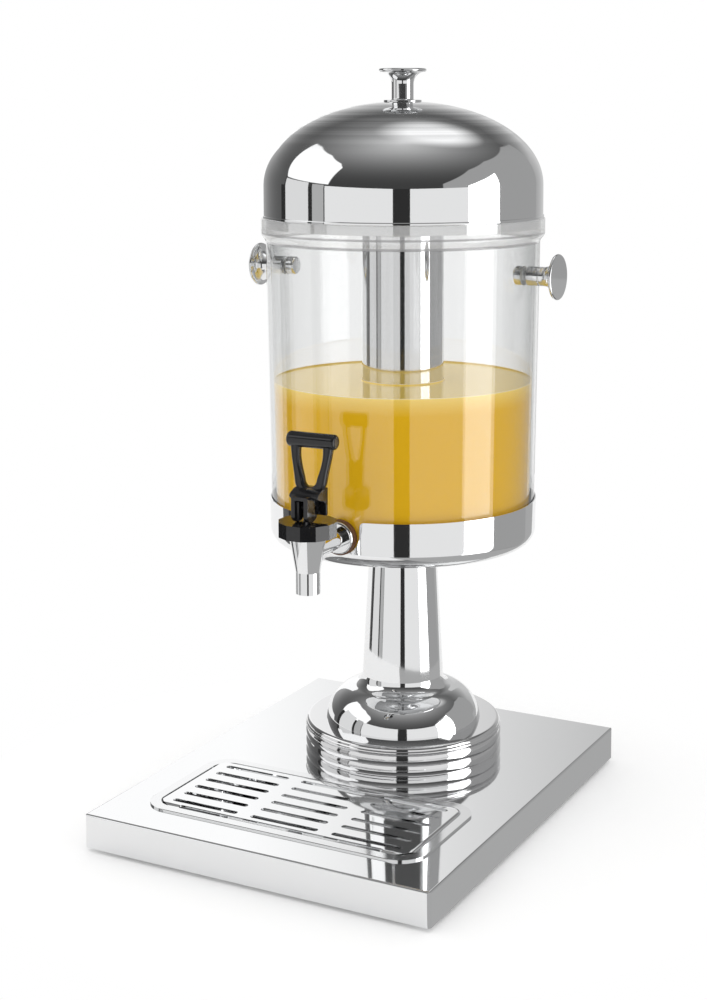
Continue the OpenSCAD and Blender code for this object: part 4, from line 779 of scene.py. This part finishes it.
# The floor is paper, and turns plain white where the shadow has ended. Mirror
# surfaces see through its far part to the room, and see it darker at the right.
FLOOR, FLOOR_LIFT, FLOOR_SHADE, SHADOW_END, WHITE_FROM = 4.0, 0.12, 0.42, 0.20, 0.32
MIRRORED_FLOOR, MIRRORED_TURN, BASE_SIDE = 0.45, 126, 0.14
paper = Finish("white_floor")
seen, reflected = ray(paper, "camera"), ray(paper, "glossy")
_, spot = paper.place()
away = (spot[0] ** 2.0 + spot[1] ** 2.0) ** 0.5
turn = around(spot[0], spot[1])
ahead = (turn > -MIRRORED_TURN) * (turn < MIRRORED_TURN)
fade = paper.ramp(away, [(0.0, 0.0), (SHADOW_END, 0.0), (WHITE_FROM, 1.0), (1.0, 1.0)])
white = paper.node("Emission", inputs={"Color": (1, 1, 1, 1)})
shade = paper.node("Emission", inputs={"Color": (FLOOR_SHADE, FLOOR_SHADE, FLOOR_SHADE, 1)})
sheet = paper.node("AddShader", inputs={
    0: paper.node("BsdfDiffuse", inputs={"Color": (0.95, 0.95, 0.95, 1)}),
    1: paper.node("Emission", inputs={"Color": paper.blend(seen, (0.0, 0.0, 0.0), (FLOOR_LIFT,) * 3)})})
sheet = paper.mix(fade * seen, sheet, white)
sheet = paper.mix(reflected * (spot[0] > BASE_SIDE), sheet, shade)
open_part = reflected * (away > MIRRORED_FLOOR) * ahead
white_floor = paper.done(paper.mix(open_part, sheet, paper.node("BsdfTransparent")))
floor_corners = [(-FLOOR, -FLOOR, 0), (FLOOR, -FLOOR, 0), (FLOOR, FLOOR, 0), (-FLOOR, FLOOR, 0)]
floor_mesh = bpy.data.meshes.new("floor")
floor_mesh.from_pydata(floor_corners, [], [(0, 1, 2, 3)])
floor_mesh.materials.append(white_floor)
floor = added("floor", floor_mesh)

LAMP_AT, LAMP_AIM, LAMP_POWER, LAMP_SIZE = Vector((-0.9, -0.7, 1.7)), Vector((0, 0.05, 0.2)), 3.5, 1.2
lamp_light = bpy.data.lights.new("soft_light", "AREA")
lamp_light.energy, lamp_light.size = LAMP_POWER, LAMP_SIZE
lamp = added("soft_light", lamp_light)
lamp.location = LAMP_AT
lamp.rotation_euler = (LAMP_AIM - lamp.location).to_track_quat("-Z", "Y").to_euler()
lamp.visible_glossy = False

EYE, YAW, PITCH, ROLL = Vector((0.6205, -1.178, 0.5411)), 28.116, 5.591, -0.194
LENS, SHIFT = 63.43, -0.22
lens = bpy.data.cameras.new("camera")
lens.lens, lens.shift_y = LENS, SHIFT
camera = added("camera", lens)
camera.matrix_world = (
    Matrix.Translation(EYE) @ Matrix.Rotation(math.radians(YAW), 4, "Z")
    @ Matrix.Rotation(math.radians(90 - PITCH), 4, "X") @ Matrix.Rotation(math.radians(ROLL), 4, "Z"))
bpy.context.scene.camera = camera
bpy.context.scene.view_settings.view_transform = "Standard"
